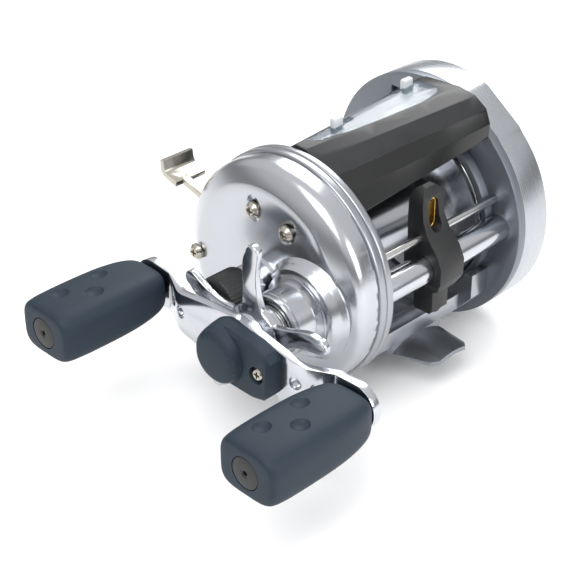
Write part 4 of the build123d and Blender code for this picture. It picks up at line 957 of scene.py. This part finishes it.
@dataclass
class SpoolSet:
    """The spool with its shaft, gear and brake."""

    arbor: float = 9.0
    bore: float = 4.1

    def build(self) -> None:
        """Turn the spool and carry over what is on its shaft."""
        x0, x1 = span("spool", 0)
        rim = (span("spool", 2)[1] - span("spool", 2)[0]) / 2
        near = [(x0 + 1.5, 6.6), (x0 + 1.5, rim - 2.8), (x0 + 0.2, rim - 2.4), (x0, rim - 1.6),
                *arc_profile((x0 + 0.7, rim - 0.7), 0.7, 180, 20, 6), (x0 + 1.7, rim - 1.6),
                (x0 + 2.0, self.arbor + 6.0), (x0 + 2.8, self.arbor + 3.2),
                (x0 + 4.4, self.arbor + 1.0), (x0 + 7.5, self.arbor)]
        far = [(x0 + x1 - x, r) for x, r in reversed(near)]
        inside = [(x1 - 6.0, self.bore), (x0 + 6.0, self.bore)]
        spool = turn("spool_turned", near + far + inside, SPOOL, 160)
        smooth(spool, 32)
        settle(spool, "spool_set", POLISHED_ALUMINIUM, ["spool"])
        for name, node, slot, finish in (
                ("spool_axle", "spool_shaft", "steel", STAINLESS),
                ("spool_drive_gear", "spool_gear", "white", WHITE_NYLON),
                ("centrifugal_brakes", "brake_blocks", "white", WHITE_NYLON)):
            settle(fair_copy(name, node, 0.0), "spool_set", finish, [node])


@dataclass
class LevelWind:
    """The chromed tube, guide rod, worm and the line guide that slides on them."""

    def build(self) -> None:
        """Make the level wind."""
        for name, node, body, slot, finish, width in (
                ("worm_tube", "level_wind_tube", "frame", "bright", CHROME, 0.1),
                ("guide_rod_ground", "guide_rod", "frame", "steel", STAINLESS, 0.1),
                ("worm_end_bushes", "worm_bushes", "frame", "gear_brass", BRASS, 0.08),
                ("worm_spindle", "worm_shaft", "worm_set", "steel", STAINLESS, 0.08),
                ("worm_drive_gear", "worm_gear", "worm_set", "white", WHITE_NYLON, 0.0),
                ("line_guide_carriage", "line_guide", "line_carriage", "black", MATT_BLACK, 0.45),
                ("line_eye_ring", "line_eye_insert", "line_carriage", "gear_brass", BRASS, 0.12),
                ("worm_pawl", "pawl", "line_carriage", "steel", STAINLESS, 0.1),
                ("pawl_screw_cap", "pawl_cap", "line_carriage", "black", GLOSS_BLACK, 0.2)):
            settle(fair_copy(name, node, width, segments=3), body, finish, [node])


@dataclass
class FarSide:
    """The far cover, its screws, the clicker button and the gear train behind it."""

    def build(self) -> None:
        """Carry over the far side's pieces."""
        for name, node, body, slot, finish, width in (
                ("far_cover_shell", "far_cover", "frame", "polished_silver", LINED_ALUMINIUM, 0.35),
                ("far_side_screw_heads", "far_side_screws", "frame", "nickel", NICKEL, 0.12),
                ("idler_studs", "gear_studs", "frame", "steel", STAINLESS, 0.08),
                ("bait_clicker_button", "clicker_button", "clicker", "black", MATT_BLACK, 0.25),
                ("idler_gear_pair", "idler_gear", "idler", "white", WHITE_NYLON, 0.0),
                ("counter_idler_cut", "counter_idler_gear", "counter_idler", "white",
                 WHITE_NYLON, 0.0)):
            settle(fair_copy(name, node, width, segments=3), body, finish, [node])


@dataclass
class LineCounter:
    """The counter's housing, window, number wheels and reset button."""

    digit_height: float = 1.9
    digits: str = "0123456789"
    wheel_bore: float = 1.16
    wheel_edge: float = 0.15
    wheels: tuple[tuple[str, str], ...] = (
        ("counter_wheel_hundreds", "hundreds_wheel"), ("counter_wheel_tens", "tens_wheel"),
        ("counter_wheel_units", "counter_drive"))

    def build(self) -> None:
        """Make every piece of the counter."""
        for name, node, body, slot, finish, width in (
                ("counter_lower_shell", "counter_base", "frame", "charcoal", GLOSS_BLACK, 0.3),
                ("counter_upper_shell", "counter_cover", "frame", "charcoal", CHARCOAL, 0.35),
                ("counter_window", "counter_lens", "frame", "smoke", ACRYLIC, 0.15),
                ("window_lugs", "lens_clips", "frame", "frosted", FROSTED, 0.35),
                ("counter_spindle", "counter_shaft", "counter_drive", "white", WHITE_NYLON, 0.0),
                ("counter_reset_button", "reset_button", "reset", "black", GLOSS_BLACK, 0.25)):
            settle(fair_copy(name, node, width, segments=3), body, finish, [node])
        for node, body in self.wheels:
            self.wheel(node, body)

    def wheel(self, node: str, body: str) -> None:
        """Turn a number wheel and print its ten digits round it.

        Args:
            node: The wheel's CAD node.
            body: The body that it turns with.
        """
        x0, x1 = span(node, 0)
        radius = (span(node, 2)[1] - span(node, 2)[0]) / 2 - 0.03
        bore, edge = self.wheel_bore, self.wheel_edge
        outline = [(x0, bore), (x0, radius - edge), (x0 + edge, radius), (x1 - edge, radius),
                   (x1, radius - edge), (x1, bore)]
        wheel = turn(f"{node}_drum", outline, COUNTER, 60)
        smooth(wheel, 30)
        settle(wheel, body, WHITE_NYLON, [node])
        marks = [self.digit(k, (x0 + x1) / 2, radius) for k in range(len(self.digits))]
        settle(joined(f"{node}_print", marks), body, PRINT_INK)

    def digit(self, number: int, x: float, radius: float) -> bpy.types.Object:
        """Make one digit as a thin raised print on the wheel.

        Args:
            number: Which digit.
            x: The wheel's middle along X.
            radius: The wheel's radius.

        Returns:
            The digit's mesh.
        """
        clear_selection()
        bpy.ops.object.text_add()
        mark = bpy.context.object
        mark.data.body = self.digits[number]
        mark.data.size = self.digit_height * MM
        mark.data.align_x = "CENTER"
        mark.data.align_y = "CENTER"
        mark.data.extrude = 0.02 * MM
        bpy.ops.object.convert(target="MESH")
        step = 2 * math.pi * number / len(self.digits)
        mark.data.transform(Matrix.Translation((0, 0, radius * MM)))
        mark.data.transform(Matrix.Rotation(math.radians(12) + step, 4, "X"))
        mark.data.transform(Matrix.Translation((x * MM, COUNTER.y, COUNTER.z)))
        return mark


# ---------------------------------------------------------------- studio
@dataclass
class Studio:
    """The floor, soft lights and camera."""

    place: Point = (-227.78, -204.47, 195.02)
    azimuth: float = -44.55
    elevation: float = 31.51
    roll: float = -0.18
    lens: float = 93.16
    sensor: float = 36.0

    def build(self) -> None:
        """Set the stage."""
        self.floor()
        self.sky()
        self.lamp("key_softbox", (-260, -120, 420), (0, 0, 20), 320, 1.5)
        self.lamp("far_softbox", (260, 160, 330), (0, 0, 30), 260, 0.9)
        self.lamp("front_strip", (40, -380, 170), (-20, 0, 20), 200, 0.6)
        self.camera()
        bpy.context.scene.view_settings.view_transform = "Standard"

    def floor(self) -> None:
        """Lay a plain pale floor, just under the lowest piece."""
        clear_selection()
        low = CAD_BOX[0][2]
        bpy.ops.mesh.primitive_plane_add(size=4.0, location=(0, 0, low - 0.0002))
        ground = bpy.context.object
        ground.name = "pale_floor"
        paper = Finish("pale paper floor", "FAFAFA", 0.0, 0.75, Pattern.GRAIN, 3.0, 0.0, drift=0.0)
        ground.data.materials.append(paper.material())

    def sky(self) -> None:
        """Light all round: white above, with a darker band low down that metal can mirror."""
        world = bpy.data.worlds.new("soft room")
        bpy.context.scene.world = world
        world.use_nodes = True
        tree = world.node_tree
        tree.nodes.clear()
        place = add_node(tree, "ShaderNodeTexCoord").outputs["Generated"]
        height = add_node(tree, "ShaderNodeSeparateXYZ", links={"Vector": place}).outputs["Z"]
        share = add_node(tree, "ShaderNodeMapRange", links={"Value": height}, From_Min=-1.0,
                         From_Max=1.0)
        ramp = add_node(tree, "ShaderNodeValToRGB", links={"Fac": share.outputs["Result"]})
        stops = ((0.0, 0.95), (0.42, 0.95), (0.50, 0.42), (0.58, 0.28), (0.68, 0.80), (1.0, 1.0))
        ramp.color_ramp.elements[0].position = stops[0][0]
        ramp.color_ramp.elements[0].color = (*[stops[0][1]] * 3, 1)
        ramp.color_ramp.elements[1].position = stops[-1][0]
        ramp.color_ramp.elements[1].color = (*[stops[-1][1]] * 3, 1)
        for position, value in stops[1:-1]:
            ramp.color_ramp.elements.new(position).color = (value, value, value * 1.01, 1)
        glow = add_node(tree, "ShaderNodeBackground", links={"Color": ramp.outputs["Color"]},
                        Strength=1.0)
        add_node(tree, "ShaderNodeOutputWorld", links={"Surface": glow.outputs["Background"]})

    def lamp(self, name: str, place: Point, target: Point, size: float, power: float) -> None:
        """Hang a square soft light.

        Args:
            name: Its name.
            place: Where it hangs, in millimetres.
            target: What it points at.
            size: Its side.
            power: Its power, in watts.
        """
        light = bpy.data.lights.new(name, "AREA")
        light.shape = "SQUARE"
        light.size = size * MM
        light.energy = power
        lamp = bpy.data.objects.new(name, light)
        bpy.context.scene.collection.objects.link(lamp)
        lamp.location = Vector(place) * MM
        lamp.rotation_euler = (Vector(target) - Vector(place)).to_track_quat("-Z", "Y").to_euler()

    def camera(self) -> None:
        """Stand the camera above the handle's side, a little in front."""
        a, e, r = (math.radians(v) for v in (self.azimuth, self.elevation, self.roll))
        back = Vector((math.sin(a) * math.cos(e), -math.cos(a) * math.cos(e), math.sin(e)))
        right = Vector((math.cos(a), math.sin(a), 0.0))
        up = back.cross(right)
        side = right * math.cos(r) + up * math.sin(r)
        top = up * math.cos(r) - right * math.sin(r)
        eye = bpy.data.objects.new("camera", bpy.data.cameras.new("camera"))
        bpy.context.scene.collection.objects.link(eye)
        eye.data.lens = self.lens
        eye.data.sensor_width = self.sensor
        eye.data.clip_start = 0.01
        eye.data.dof.use_dof = False
        eye.matrix_world = Matrix.Translation(Vector(self.place) * MM) @ Matrix(
            (side, top, back)).transposed().to_4x4()
        bpy.context.scene.camera = eye


def main() -> None:
    """Build the reel and its studio in order."""
    Studio().build()
    for part in (FrameSet(), HandleSide(), CrankSet(), StarWheel(), TensionCap(), SpoolSet(),
                 LevelWind(), FarSide(), LineCounter()):
        LOG.info("building %s", type(part).__name__)
        part.build()


if __name__ == "__main__":
    main()
